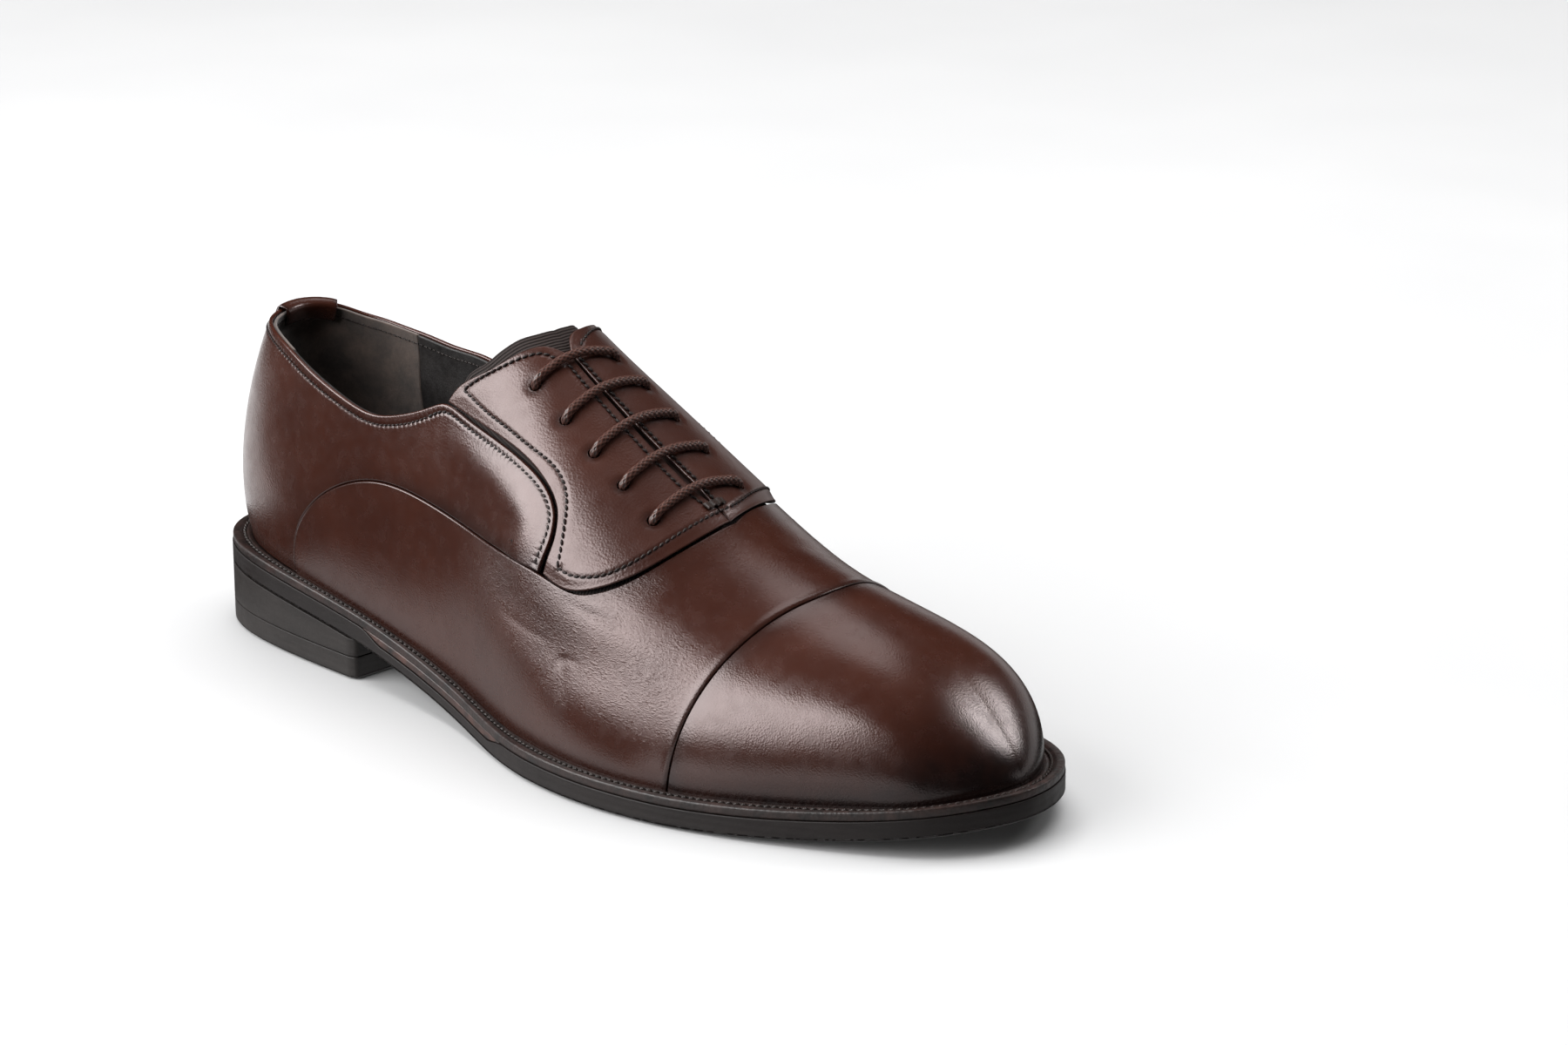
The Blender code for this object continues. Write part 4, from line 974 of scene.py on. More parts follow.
def build_cap():
    half = math.pi / 2 * 0.92
    u = np.r_[-UNDER[1], -UNDER[0], np.sin(np.linspace(-1, 1, 111) * half) / math.sin(half), UNDER]
    start = (through(CAP_SEAM, np.clip(u, -1, 1)) + 0.0003)[None]
    near = np.array(EDGE_MM) / 82.0
    far = 1 - (1 - np.linspace(0, 1, 64)[1:]) ** 1.5
    rows = np.r_[near, near[-1] + (1 - near[-1]) * far][:, None]
    s = start + (1 - start) * rows
    u = np.broadcast_to(u, s.shape)
    p = chart(s, u, 0.0)
    cap = distance(p, CAP)
    lip = 0.22 * (1 - smooth(cap, 0.0, 3.5))
    # Burnish and painted shade along the cap seam; painted shade in the corner over the welt and at
    # the toe.
    tone = burnish_and_shade(cap, 3.4, 0.62) + burnish_and_shade(distance(p, FEATHER), 3.4, 0.55) + toe_shade(p)
    obj = sheet("toe_cap_skin", s, u, lip, LEATHER_T + lip, calf("calf_cap", grain=0.000026),
                free={"row0": 0.3}, tone=np.clip(tone, 0, 1), weld=True)
    finish_piece(obj, SHOE, "toe_cap")


def build_quarter(side, name, node):
    t = np.linspace(0, 1, 270)
    top = np.abs(top_line(side, t))
    dense = np.r_[0, .0003, .0008, .0016, .003, .005, .176, .179, .181, .1825, .1835, .1845, .1855,
                  .187, .189, .1915, .195]
    late = top[-40:, 1] > .52
    corner = np.interp(np.linspace(.597, .652, 34), top[-40:, 1][late], t[-40:][late])
    t = np.unique(np.r_[t, np.interp(dense, top[:150, 0], t[:150]), corner])
    top = np.abs(top_line(side, t))
    top[:, 0] = np.maximum(top[:, 0], .0006)
    sd = top * [1, side]
    rows = []
    for d in (0, .07, .16, .28, .42, .6, .9, 1.4, 1.9, 2.3, 2.7, 3.1, 3.6, 4.4):
        line = shifted(sd, side * d) if d else sd.copy()
        line[:, 0] = np.maximum(line[:, 0], .0006)
        line[:8, 0] = sd[:8, 0]
        rows.append(line)
    start, above = np.abs(rows[-1]).T
    bend = np.interp(.40, top[:200, 0], t[:200])
    s_b = np.where(t < bend, top[:, 0], .40 + .133 * (t - bend) / (1 - bend))
    seam_s, seam_u = np.abs(wing(side, 900)).T
    seam = np.where(s_b < .184, 1.0, np.interp(s_b, seam_s, seam_u))
    low = np.minimum(seam + .09, 1.10)
    close = np.array([-4.5, -3, -2.2, -1.6, -1.2, -.9, -.6, -.35, -.1, .2, .5, .9, 1.5])
    close = close / CHART_MM[1]
    first = np.maximum(seam + close[0], above)
    for k in np.linspace(0, 1, 30)[1:-1]:
        u = above + (first - above) * k
        rows.append(np.stack([start + (s_b - start) * k, u * side], -1))
    for k, c in enumerate(close):
        rows.append(np.stack([s_b, np.maximum(seam + c, above + .0006 * k) * side], -1))
    between = 0.5 * (seam + low + close[-1])
    rows.append(np.stack([s_b, np.maximum(between, above + .009) * side], -1))
    rows.append(np.stack([s_b, np.maximum(low, above + .012) * side], -1))
    g = np.stack(rows, 0)
    s, u = g[..., 0], g[..., 1]
    p = chart(s, u, 0.0)
    q = distance(p, SEAM[:260] if side < 0 else SEAM[259:])
    q = np.where((s > .184) & (np.abs(u) > np.interp(s, seam_s, seam_u)), -q, q)
    top_d = distance(p, on_surface(sd[::2]))
    sunk = np.where(s < .17, 0, 1 - smooth(q, -0.35, 0.55))
    depth = 0.35 + 1.35 * sunk
    groove, row_d, beat = channel(p, [GORE_ROW[side]], 0.5, 0.24)
    gore = smooth(p[..., 0], 112, 135)
    swell = 0.75 * gore * np.exp(-((top_d - 9) / 7) ** 2)
    # Burnish and painted shade beside the wing seam where the quarter dips under the vamp, in the
    # stitch channel and along the top edge; painted shade in the corner over the welt; darker along
    # the back seam.
    tone = burnish_and_shade(q, 4.2, 0.62) * (0.35 + 0.65 * smooth(p[..., 0], 70, 120))
    tone += burnish_and_shade(row_d, 0.8, 0.35)
    tone += burnish_and_shade(top_d, 2.0 + 1.6 * gore, 0.3 + 0.2 * gore) * smooth(top_d, 0.2, 1.1)
    tone += burnish_and_shade(distance(p, FEATHER), 4.5, 0.4)
    tone += burnish_and_shade(np.abs(p[..., 1]) + 20 * (p[..., 0] > 30), 1.5, 0.4)
    obj = sheet(name, s, u, depth + groove - swell, depth + 1.25,
                calf("calf_" + node, grain=0.000030, cell=1750, pull=0.12), free=("row0", "col0"),
                r=0.5, tone=np.clip(tone, 0, 1), extra={"row": row_d, "beat": beat})
    finish_piece(obj, SHOE, node)


def coons(side_pts, centre, top, bottom, a, b):
    """Grid of (station, distance) inside four edges that share their corners."""
    left, right = walk(side_pts, a)[:, None], walk(centre, a)[:, None]
    up, down = walk(top, b)[None], walk(bottom, b)[None]
    a = np.asarray(a)[:, None, None]
    b = np.asarray(b)[None, :, None]
    corner = (1 - a) * (1 - b) * left[0, 0] + (1 - a) * b * right[0, 0]
    corner = corner + a * (1 - b) * left[-1, 0] + a * b * right[-1, 0]
    return (1 - b) * left + b * right + (1 - a) * up + a * down - corner


def facing_edges(side):
    slit_s = np.linspace(.486, .6703, 24)
    half = np.interp(slit_s, [p[0] for p in SLIT_HALF], [p[1] for p in SLIT_HALF])
    slit_u = through(SLIT, slit_s) + side * half
    centre = [(a, b * side) for a, b in zip(slit_s, slit_u)]
    top = list(FACING_TOP if side < 0 else FACING_TOP_INNER)
    top[-1] = centre[0]
    edge = wing(side, 25)
    outline = FACING_SIDE[:-1] + [(.565, .606) if side < 0 else (.564, .580)]
    base = edge[(edge[:, 0] > .580) & (np.abs(edge[:, 1]) > abs(centre[-1][1]) + 0.05)]
    clear = 0.0014 + (0.0026 if side < 0 else 0) * smooth(np.abs(base[:, 1]), .36, .52)
    base = zip((base[:, 0] - clear)[::2], np.abs(base[::2, 1]))
    bottom = [outline[-1], *base, centre[-1]]
    return outline, centre, top, bottom


def build_facing(side, name, node):
    outline, centre, top, bottom = facing_edges(side)
    a = spaced(84, 0.62, NEAR, NEAR)
    b = spaced(44, 0.62, NEAR, NEAR)
    g = coons(outline, centre, top, bottom, a, b)
    s, u = g[..., 0], g[..., 1] * side
    p = chart(s, u, 0.0)
    end = distance(p, p[-1])
    rim = np.minimum(np.minimum(distance(p, p[0]), end), distance(p, p[:, 0]))
    slit = distance(p, p[:, -1])
    groove, row_d, beat = channel(p, panel_rows(side), 0.6, 0.26, 1.95)
    # Burnish and painted shade at the rim and in the stitch channels; painted shade along the slit.
    tone = burnish_and_shade(rim, 1.2, 0.12) + burnish_and_shade(row_d, 0.7, 0.40) + burnish_and_shade(slit, 0.9, 0.35)
    eye = np.full(s.shape, 1e3)
    for hole in holes(side):
        eye = np.minimum(eye, np.linalg.norm(p - chart(*hole, 0.0), axis=-1))
    eye = np.maximum(eye - EYELET_R, 0)
    # Painted shade round the lace holes, under the laces.
    tone = tone + burnish_and_shade(eye, 1.1, 0.6)
    sag = 0.35 * np.exp(-(eye / 1.4) ** 2)
    puff = 0.30 * smooth(np.minimum(rim, slit), 0.4, 5.0)
    hem = (0.5 if side < 0 else 0.8) * (1 - smooth(end, 0, 4.5))
    obj = sheet(name, s, u, groove + sag - puff + hem - LEATHER_T, 0.0,
                calf("calf_" + node, grain=0.000052, cell=1600, rough=0.34, pull=0.07),
                free=ALL_EDGES, r=0.55, tone=np.clip(tone, 0, 1),
                extra={"row": row_d, "beat": beat})
    punch(obj, side)
    finish_piece(obj, PANEL, node)


def holes(side):
    """Chart places of the lace holes on one side of the slit."""
    return [np.array(row[:2] if side < 0 else row[2:]) for row in EYELETS]


def punch(obj, side):
    """Cuts the lace holes through a facing."""
    bm = bmesh.new()
    for hole in holes(side):
        c, n = frame_at(*hole)
        turn = Vector((0, 0, 1)).rotation_difference(Vector(n)).to_matrix().to_4x4()
        turn.translation = Vector(to_world(c))
        bmesh.ops.create_cone(bm, cap_ends=True, segments=28, radius1=EYELET_R * MM,
                              radius2=EYELET_R * MM, depth=7 * MM, matrix=turn)
    mesh = bpy.data.meshes.new("punch")
    bm.to_mesh(mesh)
    bm.free()
    tool = bpy.data.objects.new("punch", mesh)
    here = bpy.context.scene.collection.objects
    here.link(tool)
    here.link(obj)
    mod = obj.modifiers.new("holes", 'BOOLEAN')
    mod.object = tool
    mod.operation = 'DIFFERENCE'
    mod.solver = 'EXACT'
    old = obj.data
    cut = bpy.data.meshes.new_from_object(obj.evaluated_get(bpy.context.evaluated_depsgraph_get()))
    obj.modifiers.clear()
    obj.data = cut
    bpy.data.meshes.remove(old)
    bpy.data.objects.remove(tool)
    here.unlink(obj)


def frame_at(s, u):
    """Point of the lasted surface and the direction out of it."""
    p = chart(np.array(s), np.array(u), 0.0)
    side = -1.0 if u < 0 else 1.0
    return p, normal(np.array(s * side), np.array(1 - abs(u)))


def build_elastic():
    a = spaced(84, 2.2, np.arange(0, 12, 0.22), np.arange(0, 3, 0.3))
    b = spaced(48, 2.0, np.arange(0, 11, 0.25))
    grids = []
    for side in (-1, 1):
        centre = [ELASTIC_TOP[-1], ELASTIC_BOTTOM[side][-1]]
        g = coons(ELASTIC_SIDE, centre, ELASTIC_TOP, ELASTIC_BOTTOM[side], a, b)
        g[..., 1] *= side
        grids.append(g)
    g = np.concatenate([grids[0], grids[1][:, -2::-1]], 1)
    s, u = g[..., 0], g[..., 1]
    edge = wing(-1, 200)
    near = np.interp(-np.abs(u), edge[:, 1], edge[:, 0])
    deep = (1 - smooth(np.abs(u), .33, .43)) * (1 - smooth(s, near - .028, near - .006))
    d = 1.95 + 1.0 * deep
    p = chart(s, u, 2.0)
    rib = np.minimum(distance(p, p[0]), np.minimum(distance(p, p[:, 0]), distance(p, p[:, -1])))
    near_top = 1 - smooth(rib, 8.5, 10.5)
    bow = -0.10 * np.cos(rib * 2 * math.pi / RIB_PITCH) * near_top
    obj = sheet("elastic_web", s, u, d + bow, d + 0.9, elastic("elastic_web"),
                free=("row0", "col0", "col1"), r=0.4, extra={"rib": rib})
    finish_piece(obj, SHOE, "elastic_gusset")


def build_linings():
    black = lining("lining_black")
    run = np.r_[np.linspace(0, .2455, 90), np.linspace(.2475, .455, 60)][None]
    k = np.r_[np.linspace(0, .9, 36), np.linspace(.905, 1, 22)][:, None]
    front = grip_front(k) + .0004
    s = np.where(run < .2465, front + (.39 - front) * run / .2455, .1445 + run)
    for side, node in ((-1, "quarter_lining_outer"), (1, "quarter_lining_inner")):
        low, top = 1 - foot_v(s), top_edge(LINING_TOP, s * side)
        u = (low + (top - low) * k) * side
        deep = LINING_DEPTH - lining_draw(s, u)
        row = distance(chart(s, u, LINING_DEPTH), on_surface(resample(LINING_ROW[side], 0.8), 1.9))
        obj = sheet(node + "_skin", s, u, deep, deep + 0.8, black, free=("row1",), r=0.3,
                    tone=burnish_and_shade(row, 0.7, 0.5))
        finish_piece(obj, SHOE, node)
    rel = np.linspace(-1, 1, 170)[None]
    k = np.r_[np.linspace(0, .9, 44), np.linspace(.905, 1, 26)][:, None]
    sig = .1438 * rel * (1 + (grip_front(k) / .1438 - 1) * rel ** 2)
    low, top = 1 - foot_v(sig), top_edge(LINING_TOP, sig)
    u = low + (top - low) * k
    deep = LINING_DEPTH - lining_draw(np.abs(sig), u * np.where(sig < 0, -1, 1))
    obj = two_sided("heel_grip_skin", place(sig, 1 - u, deep), place(sig, 1 - u, deep + 0.85),
                    suede("suede_grip"))
    finish_piece(obj, SHOE, "heel_grip")


LINING_DEPTH = 3.2


def lining_draw(s, u):
    """How far the lining is drawn out to the quarter where it is sewn at the topline."""
    over = np.abs(u) - top_edge(LINING_TOP, np.minimum(s, 0.60) * np.where(u < 0, -1, 1))
    draw = (1 - smooth(over, 0.03, 0.10)) * (1 - smooth(s, 0.355, 0.395))
    return draw * (LINING_DEPTH - 1.6 - 0.3 - 0.05)


def foot_v(sig):
    """Height on the section curve at which a lining ends, 2.6 mm over the feather edge."""
    s = np.abs(sig)
    top = spline(s, CREST[:, 0], CREST[:, 3])
    rise = spline(s, SECT[:, 0], SECT[:, 1])
    return 2.6 / (3 * rise * (top - feather(sig)[..., 2]))


LINING_ROW = {side: shifted(TOP_SU[side][:192], 3.0 * side) for side in (-1, 1)}


def build_laces():
    mat = lace_cord("lace_cord")
    sides = 36
    ang = 2 * math.pi * np.arange(sides) / sides
    for k, (s0, u0, s1, u1) in enumerate(EYELETS, 1):
        p0, n0 = frame_at(s0, u0)
        p1, n1 = frame_at(s1, u1)
        pts = [p0 + n0 * d for d in (-1.9, -.8, .3, 1.3)]
        for t in (.07, .17, .33, .5, .67, .83, .93):
            q, n = frame_at(s0 + (s1 - s0) * t, u0 + (u1 - u0) * t)
            pts.append(q + n * (2.6 + 0.75 * math.sin(math.pi * t) ** 0.7))
        pts = np.array(pts + [p1 + n1 * d for d in (1.3, .3, -.8, -1.9)])
        at = eased(pts)
        c = splines(np.linspace(0, at[-1], 900), at, pts)
        run = lengths(c)
        want = np.linspace(0, run[-1], int(run[-1] / 0.22))
        c = read_off(want, run, c)
        tan = np.gradient(c, axis=0)
        tan /= np.linalg.norm(tan, axis=1)[:, None]
        a = np.cross(tan, np.array([1.0, 0, 0]))
        a /= np.linalg.norm(a, axis=1)[:, None]
        b = np.cross(tan, a)
        turn = want[:, None] * (2 * math.pi / 11.0)
        one = np.abs(np.sin(3 * (ang[None] + turn)))
        two = np.abs(np.sin(3 * (ang[None] - turn)))
        strand = np.maximum(one, two) ** 3 * (0.55 + 0.45 * np.minimum(one, two))
        end = np.minimum(want, run[-1] - want)
        rad = LACE_R * (0.69 + 0.15 * strand) * np.clip(0.55 + end / 1.2, 0, 1)[:, None]
        ring = (c[:, None] + a[:, None] * (rad * np.cos(ang))[..., None]
                + b[:, None] * (rad * np.sin(ang) * 0.93)[..., None])
        faces = grid_faces(len(want), sides, tube=True) + caps(len(want), sides)
        # 'strand' shapes the cord and also paints highlight on its crossings and shade in its
        # hollows.
        obj = outward(mesh_object("lace_cord_%d" % k, ring.reshape(-1, 3), faces, mat,
                                  {"strand": strand}))
        finish_piece(obj, PANEL, "lace_bar_%d" % k)


def build_tack():
    """Folded elastic end sewn down under the lowest lace."""
    a, b = np.meshgrid(np.linspace(0, 1, 26), np.linspace(0, 1, 60), indexing='ij')
    fold = 0.35 * np.sin(b * 2 * math.pi * 3.0)
    cloth = lining("tack_cloth", (0.010, 0.006, 0.005), (0.034, 0.02, 0.016), 0.4)
    obj = sheet("tack_fold", .6478 + .0066 * a, -.072 + .092 * b, -2.3 - fold, -1.65, cloth,
                free=ALL_EDGES, r=0.3)
    finish_piece(obj, PANEL, "bar_tack")


def build_heel_tab():
    """Leather tab that wraps over the topline at the back seam."""
    wide = .040
    half = [.25, .5, .7, .85, .92, .955, .985, 1]
    sig = wide * np.array([-x for x in half[::-1]] + [0] + half) + .012
    loop = [(.75, -.6), (.74, -.66), (.72, -.70), (.68, -.72), (.10, -.72), (.03, -.74),
            (.004, -.70), (-.001, -.6), (-.0045, -.25), (-.0062, .1), (-.0078, .75), (-.0082, 1.4),
            (-.008, 2.2), (-.0068, 3.0), (-.0045, 3.6), (0, 3.95), (.008, 4.1), (.016, 4.15),
            (.0225, 4.15), (.0255, 4.05), (.0265, 3.85), (.0255, 3.6), (.017, 3.42), (.004, 3.3),
            (-.004, 2.6), (-.0048, 1.4), (-.004, .3), (.004, .03), (.68, .03), (.75, .03)]
    top = top_edge(TOPLINE, sig)
    rings = []
    for k, s in enumerate(sig):
        side = 0.22 * (abs(s - .012) / wide) ** 12
        line = [(a if a >= .5 else top[k] + a, d + side if j < 19 else d)
                for j, (a, d) in enumerate(loop)]
        row = []
        for j, (a, d) in enumerate(line):
            row.append((a, d))
            if j + 1 == len(loop):
                break
            mixed = (loop[j][0] >= .5) != (loop[j + 1][0] >= .5)
            cuts = 5 if mixed else max(1, round(abs(loop[j][0] - loop[j + 1][0]) / .012))
            step = (line[j + 1][0] - a) / cuts, (line[j + 1][1] - d) / cuts
            row += [(a + step[0] * m, d + step[1] * m) for m in range(1, cuts)]
        row = np.array(row)
        rings.append(place(np.full(len(row), s), 1 - row[:, 0], row[:, 1]))
    m, n = len(sig), len(rings[0])
    faces = grid_faces(m, n, tube=True) + [tuple(range(b, b + n)) for b in (0, (m - 1) * n)]
    rel = np.abs(np.repeat(sig, n) - .012) / wide
    tone = 0.15 + 0.6 * smooth(rel, .8, 1.0)
    obj = outward(mesh_object("heel_tab_skin", np.concatenate(rings), faces, calf("calf_tab"),
                              {"tone": tone, "crease_share": 0 * tone}))
    finish_piece(obj, SHOE, "heel_tab")


# ---------------------------------------------------------------- sole and heel

def inset(curve, amount):
    """Closed curve moved inwards."""
    d = np.roll(curve, -1, 0) - np.roll(curve, 1, 0)
    n = np.stack([-d[:, 1], d[:, 0]], -1)
    n /= np.linalg.norm(n, axis=1)[:, None]
    centre = curve.mean(0)
    if ((curve + n - centre) ** 2).sum() > ((curve - centre) ** 2).sum():
        n = -n
    return curve + n * amount


def ring_from_heel(curve, count, front=lambda c: c[:, 0]):
    """Closed curve resampled evenly in two halves, from the back of the heel to the point
    where front is greatest, and back again."""
    c = np.roll(curve, -int(np.argmin(curve[:, 0])), 0)
    c = np.vstack([c, c[:1]])
    at = lengths(c)
    toe = at[int(np.argmax(front(c)))]
    half = count // 2 + 1
    want = np.r_[np.linspace(0, toe, half)[:-1], np.linspace(toe, at[-1], half)[:-1]]
    return read_off(want, at, c)


def plate(name, outline, low, high, mat, r_low, r_high):
    """Plate with rounded rims over a closed outline. low and high give heights over x."""
    n = len(outline)
    turn = [(1 - math.cos(a), 1 - math.sin(a)) for a in np.linspace(math.pi / 2, 0, 6)]
    levels = [(r_high * a, 1.0, -r_high * b) for a, b in turn]
    levels += [(0.0, share, 0.0) for share in np.linspace(0.92, 0.08, 22)]
    levels += [(r_low * (1 - math.cos(a)), 0.0, r_low * (1 - math.sin(a)))
               for a in np.linspace(0, math.pi / 2, 6)]
    rings = []
    for amount, share, dz in levels:
        c = inset(outline, amount)
        lo, hi = low(c[:, 0]), high(c[:, 0])
        rings.append(np.column_stack([c, lo + (hi - lo) * share + dz]))
    verts = [np.concatenate(rings)]
    faces = grid_faces(len(rings), n, tube=True)
    base = len(rings) * n
    half = n // 2
    across = 24
    for ring, start, height in ((rings[0], 0, high), (rings[-1], base - n, low)):
        ids = np.zeros((half + 1, across + 1), int)
        new = []
        for i in range(half + 1):
            a, b = i, (n - i) % n
            ids[i, 0], ids[i, -1] = start + a, start + b
            if i in (0, half):
                ids[i, :] = start + a
                continue
            for k in range(1, across):
                q = ring[a, :2] + (ring[b, :2] - ring[a, :2]) * k / across
                ids[i, k] = base + len(new)
                new.append((q[0], q[1], float(height(np.array(q[0])))))
        for i in range(half):
            for k in range(across):
                quad = ids[i, k], ids[i, k + 1], ids[i + 1, k + 1], ids[i + 1, k]
                quad = tuple(dict.fromkeys(map(int, quad)))
                if len(quad) > 2:
                    faces.append(quad)
        verts.append(np.array(new))
        base += len(new)
    return outward(mesh_object(name, np.concatenate(verts), faces, mat))


def outsole_top(x):
    waist = smooth(x, 82, 92) * (1 - smooth(x, 148, 160))
    return tread(x) + OUTSOLE_T + (WAIST_T - OUTSOLE_T) * waist


def heel_outline():
    """Heel in plan: round at the back, with a straight breast."""
    keep = EDGE[EDGE[:, 0] <= HEEL_BREAST]
    angle = np.arctan2(keep[:, 1], keep[:, 0] - HEEL_BREAST + 1e-6)
    keep = keep[np.argsort(angle % (2 * math.pi))]
    corner = 1.2
    pts = np.vstack([(HEEL_BREAST, keep[0, 1] - corner), keep[keep[:, 0] < HEEL_BREAST - corner],
                     (HEEL_BREAST, keep[-1, 1] + corner)])
    breast = pts[-1] + (pts[0] - pts[-1]) * np.linspace(0, 1, 60)[1:-1, None]
    middle = 0.5 * (pts[0, 1] + pts[-1, 1])
    return ring_from_heel(np.vstack([pts, breast]), 260, lambda c:
                          -np.abs(c[:, 1] - middle) - 1e3 * (c[:, 0] < HEEL_BREAST - .01))


def build_sole():
    soft = rubber("rubber_sole", (0.0062, 0.0041, 0.0038), (0.0125, 0.0088, 0.0080))
    obj = plate("outsole_body", ring_from_heel(EDGE, 720), tread, outsole_top, soft, 0.9, 0.25)
    finish_piece(obj, SHOE, "outsole")
    heel = heel_outline()
    # Painted light: the heel and its lift take a lighter copy of the sole rubber, for the light
    # that falls on the heel.
    looks = (0.0115, 0.0092, 0.0084), (0.022, 0.018, 0.0165)
    obj = plate("heel_body", heel, lambda x: 0 * x + TOP_LIFT_T + 0.25, lambda x: tread(x) - 0.15,
                rubber("rubber_heel", *looks), 0.22, 0.15)
    finish_piece(obj, SHOE, "heel_block")
    obj = plate("heel_lift_body", heel, lambda x: 0 * x, lambda x: 0 * x + TOP_LIFT_T,
                rubber("rubber_lift", *looks), 0.7, 0.22)
    finish_piece(obj, SHOE, "heel_top_lift")
    build_waist()
    build_welt()
    build_footbed()


def inside_line(amount, x_max):
    """Closed plan outline at a distance inside the feather line, cut square in front at x_max."""
    sig = np.linspace(-1, 1, 1441)[:-1]
    line = (feather(sig) - feather_out(sig) * amount)[..., :2]
    keep = line[line[:, 0] <= x_max]
    first = int(np.argmax(np.linalg.norm(np.diff(keep, axis=0), axis=1))) + 1
    return ring_from_heel(np.roll(keep, -first, 0), 400)


def build_footbed():
    """Sock liner, eased down at its rim, and the crowned foam pad that lies on it at the heel."""
    obj = plate("sock_liner_skin", inside_line(4.5, 284), lambda x: tread(x) + SOCK[0],
                lambda x: tread(x) + SOCK[1],
                lining("sock_black", (0.008, 0.007, 0.007), (0.02, 0.017, 0.016), 0.5), 0.3, 0.5)
    finish_piece(obj, SHOE, "sock_liner")
    edge = inside_line(9.0, 74)
    obj = plate("heel_pad_cushion", edge, lambda x: tread(x) + PAD[0], lambda x: tread(x) + PAD[1],
                foam("pad_skin"), 0.5, 1.3)
    crown(obj, edge, above=0.5 * (PAD[0] + PAD[1]), drop=1.35)
    finish_piece(obj, SHOE, "heel_pad")


def crown(obj, edge, above, drop):
    """Lowers a pad's upper face towards its rim, with a sewn channel 4 mm in from the edge."""
    mesh = obj.data
    co = np.empty(len(mesh.vertices) * 3)
    mesh.vertices.foreach_get("co", co)
    co = co.reshape(-1, 3)
    plan = np.stack([co[:, 0] / MM + X_MID, co[:, 1] / MM + Y_MID, 0 * co[:, 0]], -1)
    loop = np.vstack([edge, edge[:1]])
    rim = distance(plan, np.column_stack([loop, 0 * loop[:, 0]]))
    high = co[:, 2] / MM > tread(plan[:, 0]) + above
    fall = drop * np.exp(-(rim / 7.0) ** 2) + 0.45 * np.exp(-((rim - 4.0) / 0.7) ** 2)
    co[:, 2] -= MM * fall * high
    mesh.vertices.foreach_set("co", co.ravel())
    mesh.update()


def build_waist():
    """Leather midsole that fills the sole edge along the waist."""
    xs = np.r_[np.linspace(83.5, 92, 12), np.linspace(93, 148, 46), np.linspace(149, 157.5, 14)]
    ring = inset(EDGE, 0.22)
    toe, heel, n = int(np.argmax(ring[:, 0])), int(np.argmin(ring[:, 0])), len(ring)
    halves = (ring[np.arange(heel, heel + (toe - heel) % n + 1) % n],
              ring[np.arange(heel, heel - (heel - toe) % n - 1, -1) % n])
    lo = outsole_top(xs) + 0.12
    hi = np.maximum(tread(xs) + OUTSOLE_T + 0.22, lo + 0.02)
    levels = np.arange(15) / 14
    rings = []
    for half, order in zip(halves, (levels, levels[::-1])):
        y = np.interp(xs, np.maximum.accumulate(half[:, 0]), half[:, 1])
        sign = -1 if y.mean() < 0 else 1
        for a in order:
            bulge = -0.35 * (2 * a - 1) ** 6
            rings.append(np.stack([xs, y + sign * bulge, lo + (hi - lo) * a], -1))
    m, n = len(rings), len(xs)
    faces = grid_faces(m, n, ring_rows=True)
    faces += [tuple(i * n for i in range(m)), tuple(i * n + n - 1 for i in reversed(range(m)))]
    obj = outward(mesh_object("waist_body", np.concatenate(rings), faces,
                              welt_leather("waist_leather", (0.055, 0.024, 0.018))))
    finish_piece(obj, SHOE, "waist_midsole")


def build_welt():
    """Welt with a raised outer rim and a sewn channel beside the upper."""
    half = np.r_[np.linspace(0, .2, 70), np.linspace(.2, .86, 150)[1:],
                 np.linspace(.86, 1, 90)[1:]]
    sig = np.r_[-half[:0:-1], half[:-1]]
    f = feather(sig)[:, :2]
    out = feather_out(sig)[:, :2]
    edge = inset(EDGE, 0.2)
    w = []
    for p, n in zip(f, out):
        d = edge - p
        along = d @ n
        across = np.abs(d[:, 0] * n[1] - d[:, 1] * n[0])
        order = np.argsort(np.where(along > 0, across, 1e9))[:2]
        share = 1 / (across[order] + 1e-4)
        w.append((along[order] * share).sum() / share.sum())
    w = np.array(w)
    for _ in range(6):
        w = 0.25 * np.roll(w, 1) + 0.5 * w + 0.25 * np.roll(w, -1)
    low, high = SOLE_STACK - 2.9, SOLE_STACK - 0.35
    prof = [(-1.2, low), (-1.2, high - .3), (.10, high - .15), (.16, high - .02), (.22, high - .30),
            (.30, high - .50), (.38, high - .55), (.46, high - .48), (.53, high - .20),
            (.58, high - .02), (.64, high + .06), (.74, high + .08), (.84, high + .06),
            (.91, high - .02), (.96, high - .16), (.99, high - .38), (1.0, high - .65),
            (1.0, high - 1.2), (1.0, high - 1.9), (.985, low + .12), (.94, low)]
    rings = []
    for a, z in prof:
        q = f + out * (a * w if a > 0 else a + 0 * w)[:, None]
        rings.append(np.column_stack([q, tread(q[:, 0]) + z]))
    faces = grid_faces(len(rings), len(sig), ring_rows=True, tube=True)
    obj = outward(mesh_object("welt_body", np.concatenate(rings), faces,
                              welt_leather("welt_leather")))
    finish_piece(obj, SHOE, "welt")
    seam = f + out * (w * 0.36)[:, None]
    seam = np.column_stack([seam, tread(seam[:, 0]) + high - 0.48])
    seam = np.vstack([seam, seam[:1]])
    side = np.column_stack([out, 0 * out[:, 0]])
    side = np.vstack([side, side[:1]])
    paths = sewn(lengths(seam), seam, 0 * seam + [0, 0, 1.0], 2.15, 1.75, 0.42, -0.10, 0.30, side)
    thick = thread("welt_thread", (0.010, 0.0065, 0.0055), 0.5)
    finish_piece(tubes("welt_stitching", paths, 0.42, thick, 8), SHOE)


# ---------------------------------------------------------------- stitching

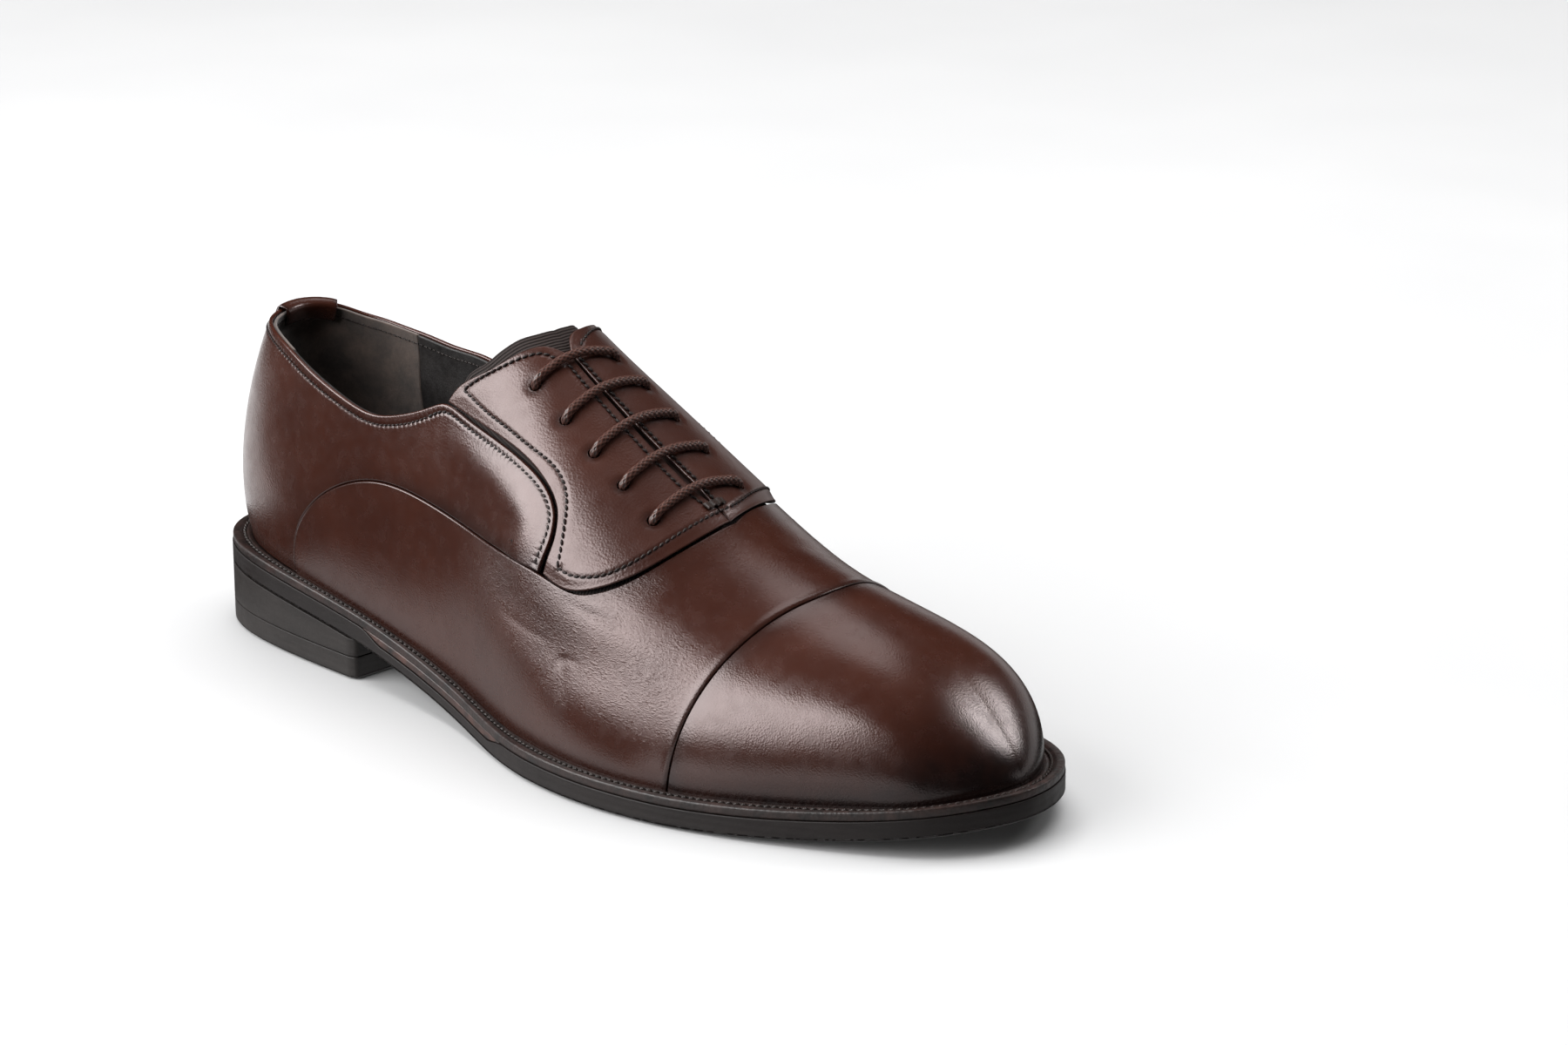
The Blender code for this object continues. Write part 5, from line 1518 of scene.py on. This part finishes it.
def build_stitching():
    dark = thread("thread_dark", (0.0075, 0.0042, 0.0036), 0.55)
    for side, tag in ((-1, "outer"), (1, "inner")):
        rows = [(su, -1.35) for su in panel_rows(side)]
        stitches("panel_stitching_" + tag, rows, dark, 1.95, 1.65, 0.40, lift=0.05, body=PANEL)
        row = GORE_ROW[side]
        cut = int(len(row) * 0.58)
        stitches("gore_stitching_" + tag, [(row[cut:], 0.35)], dark, 1.9, 1.5, 0.40)
        stitches("topline_stitching_" + tag, [(row[:cut], 0.35)], dark, 1.7, 1.3, 0.24, slant=0.05)
        stitches("collar_stitching_" + tag, [(LINING_ROW[side][4:], 2.85)], dark, 1.7, 1.25, 0.24,
                 lift=-0.1, slant=0.05)


# ---------------------------------------------------------------- carried-over parts

def dress_nodes():
    """Gives the CAD nodes that stay as they are a material of their own."""
    looks = {"facing_lining": lining("tongue_leather", (0.010, 0.0055, 0.0045),
                                     (0.022, 0.012, 0.010), 0.5),
             "vamp_lining": lining("vamp_lining_black"), "insole_board": board("insole_board"),
             "cork_filler": cork("cork_filler"), "shank": steel("shank_steel"),
             "heel_counter": fibre("counter_fibre"),
             "toe_puff": fibre("puff_fibre", (0.42, 0.38, 0.33))}
    looks.update(dict.fromkeys(("heel_nail_%d" % k for k in range(1, 5)), steel("nail_steel")))
    for name, mat in looks.items():
        slots = NODES[name].material_slots
        if not slots:
            NODES[name].data.materials.append(mat)
        for slot in slots:
            slot.material = mat


# ---------------------------------------------------------------- studio

def flat_card(name, box, rise, mat):
    """Sheet over x0, x1, y0, y1 at height z, with its far edge higher by rise."""
    x0, x1, y0, y1, z = box
    mesh = bpy.data.meshes.new(name)
    mesh.from_pydata([(x0, y0, z), (x1, y0, z), (x1, y1, z + rise), (x0, y1, z + rise)],
                     [], [(0, 1, 2, 3)])
    mesh.materials.append(mat)
    obj = bpy.data.objects.new(name, mesh)
    bpy.context.scene.collection.objects.link(obj)
    return obj


def floor():
    g = Graph("floor_paper", Roughness=0.75, Specular_IOR_Level=0.2)
    tint = g.blend(g.cloud(6, 2, 0.5, 0.3, 0.7), (0.40, 0.40, 0.403), (0.42, 0.42, 0.422))
    g.link(tint, g.shader.inputs["Base Color"])
    flat_card("floor", (-7, 7, -7, 7, -0.0004), 0.0, g.mat).visible_glossy = False


CARDS = [("bounce_card", (-0.16, 0.185, -0.080, 0.09, -0.0002), 0.0, 0.42),
         ("bounce_front", (0.045, 0.20, -0.15, -0.082, -0.0002), 0.0, 0.75),
         ("bounce_back", (-0.62, -0.23, -0.08, 0.30, -0.0002), 0.0, 1.30),
         ("backdrop_card", (-1.5, 2.5, 1.6, 1.6, -0.12), 0.55, 0.55)]


def bounce_cards():
    """White table and backdrop round the shoe, seen only in its polish."""
    for name, box, rise, level in CARDS:
        g = Graph(name, Base_Color=(0, 0, 0, 1), Emission_Color=(1, 1, 1, 1),
                  Emission_Strength=level)
        obj = flat_card(name, box, rise, g.mat)
        obj.visible_camera = False
        obj.visible_diffuse = False
        obj.visible_shadow = False
        obj.visible_transmission = False


def softbox(name, azimuth, elevation, away, width, height, power):
    data = bpy.data.lights.new(name, 'AREA')
    data.shape = 'RECTANGLE'
    data.size = width
    data.size_y = height
    data.energy = power
    return aim(bpy.data.objects.new(name, data), Vector((0.0, 0, 0.05)), azimuth, elevation, away)


def studio():
    floor()
    bounce_cards()
    world = bpy.data.worlds.new("studio")
    world.use_nodes = True
    back = world.node_tree.nodes["Background"]
    back.inputs["Color"].default_value = (1, 1, 1, 1)
    back.inputs["Strength"].default_value = 0.022
    bpy.context.scene.world = world
    softbox("key_left", -28.5, 30, 1.7, 2.3, 1.35, 70)
    softbox("rim_back", 152, 36, 1.8, 0.42, 0.42, 5.6)
    softbox("top", 222, 63, 2.0, 1.0, 1.0, 5.0)
    softbox("fill_overhead", 200, 80, 2.0, 2.4, 2.4, 98).visible_glossy = False
    bpy.context.scene.view_settings.view_transform = 'Standard'


# ---------------------------------------------------------------- assembly

build_vamp()
build_cap()
build_quarter(-1, "quarter_outer_skin", "quarter_outer")
build_quarter(1, "quarter_inner_skin", "quarter_inner")
build_facing(-1, "facing_outer_skin", "facing_outer")
build_facing(1, "facing_inner_skin", "facing_inner")
build_elastic()
build_linings()
build_laces()
build_tack()
build_heel_tab()
build_sole()
build_stitching()
dress_nodes()
studio()
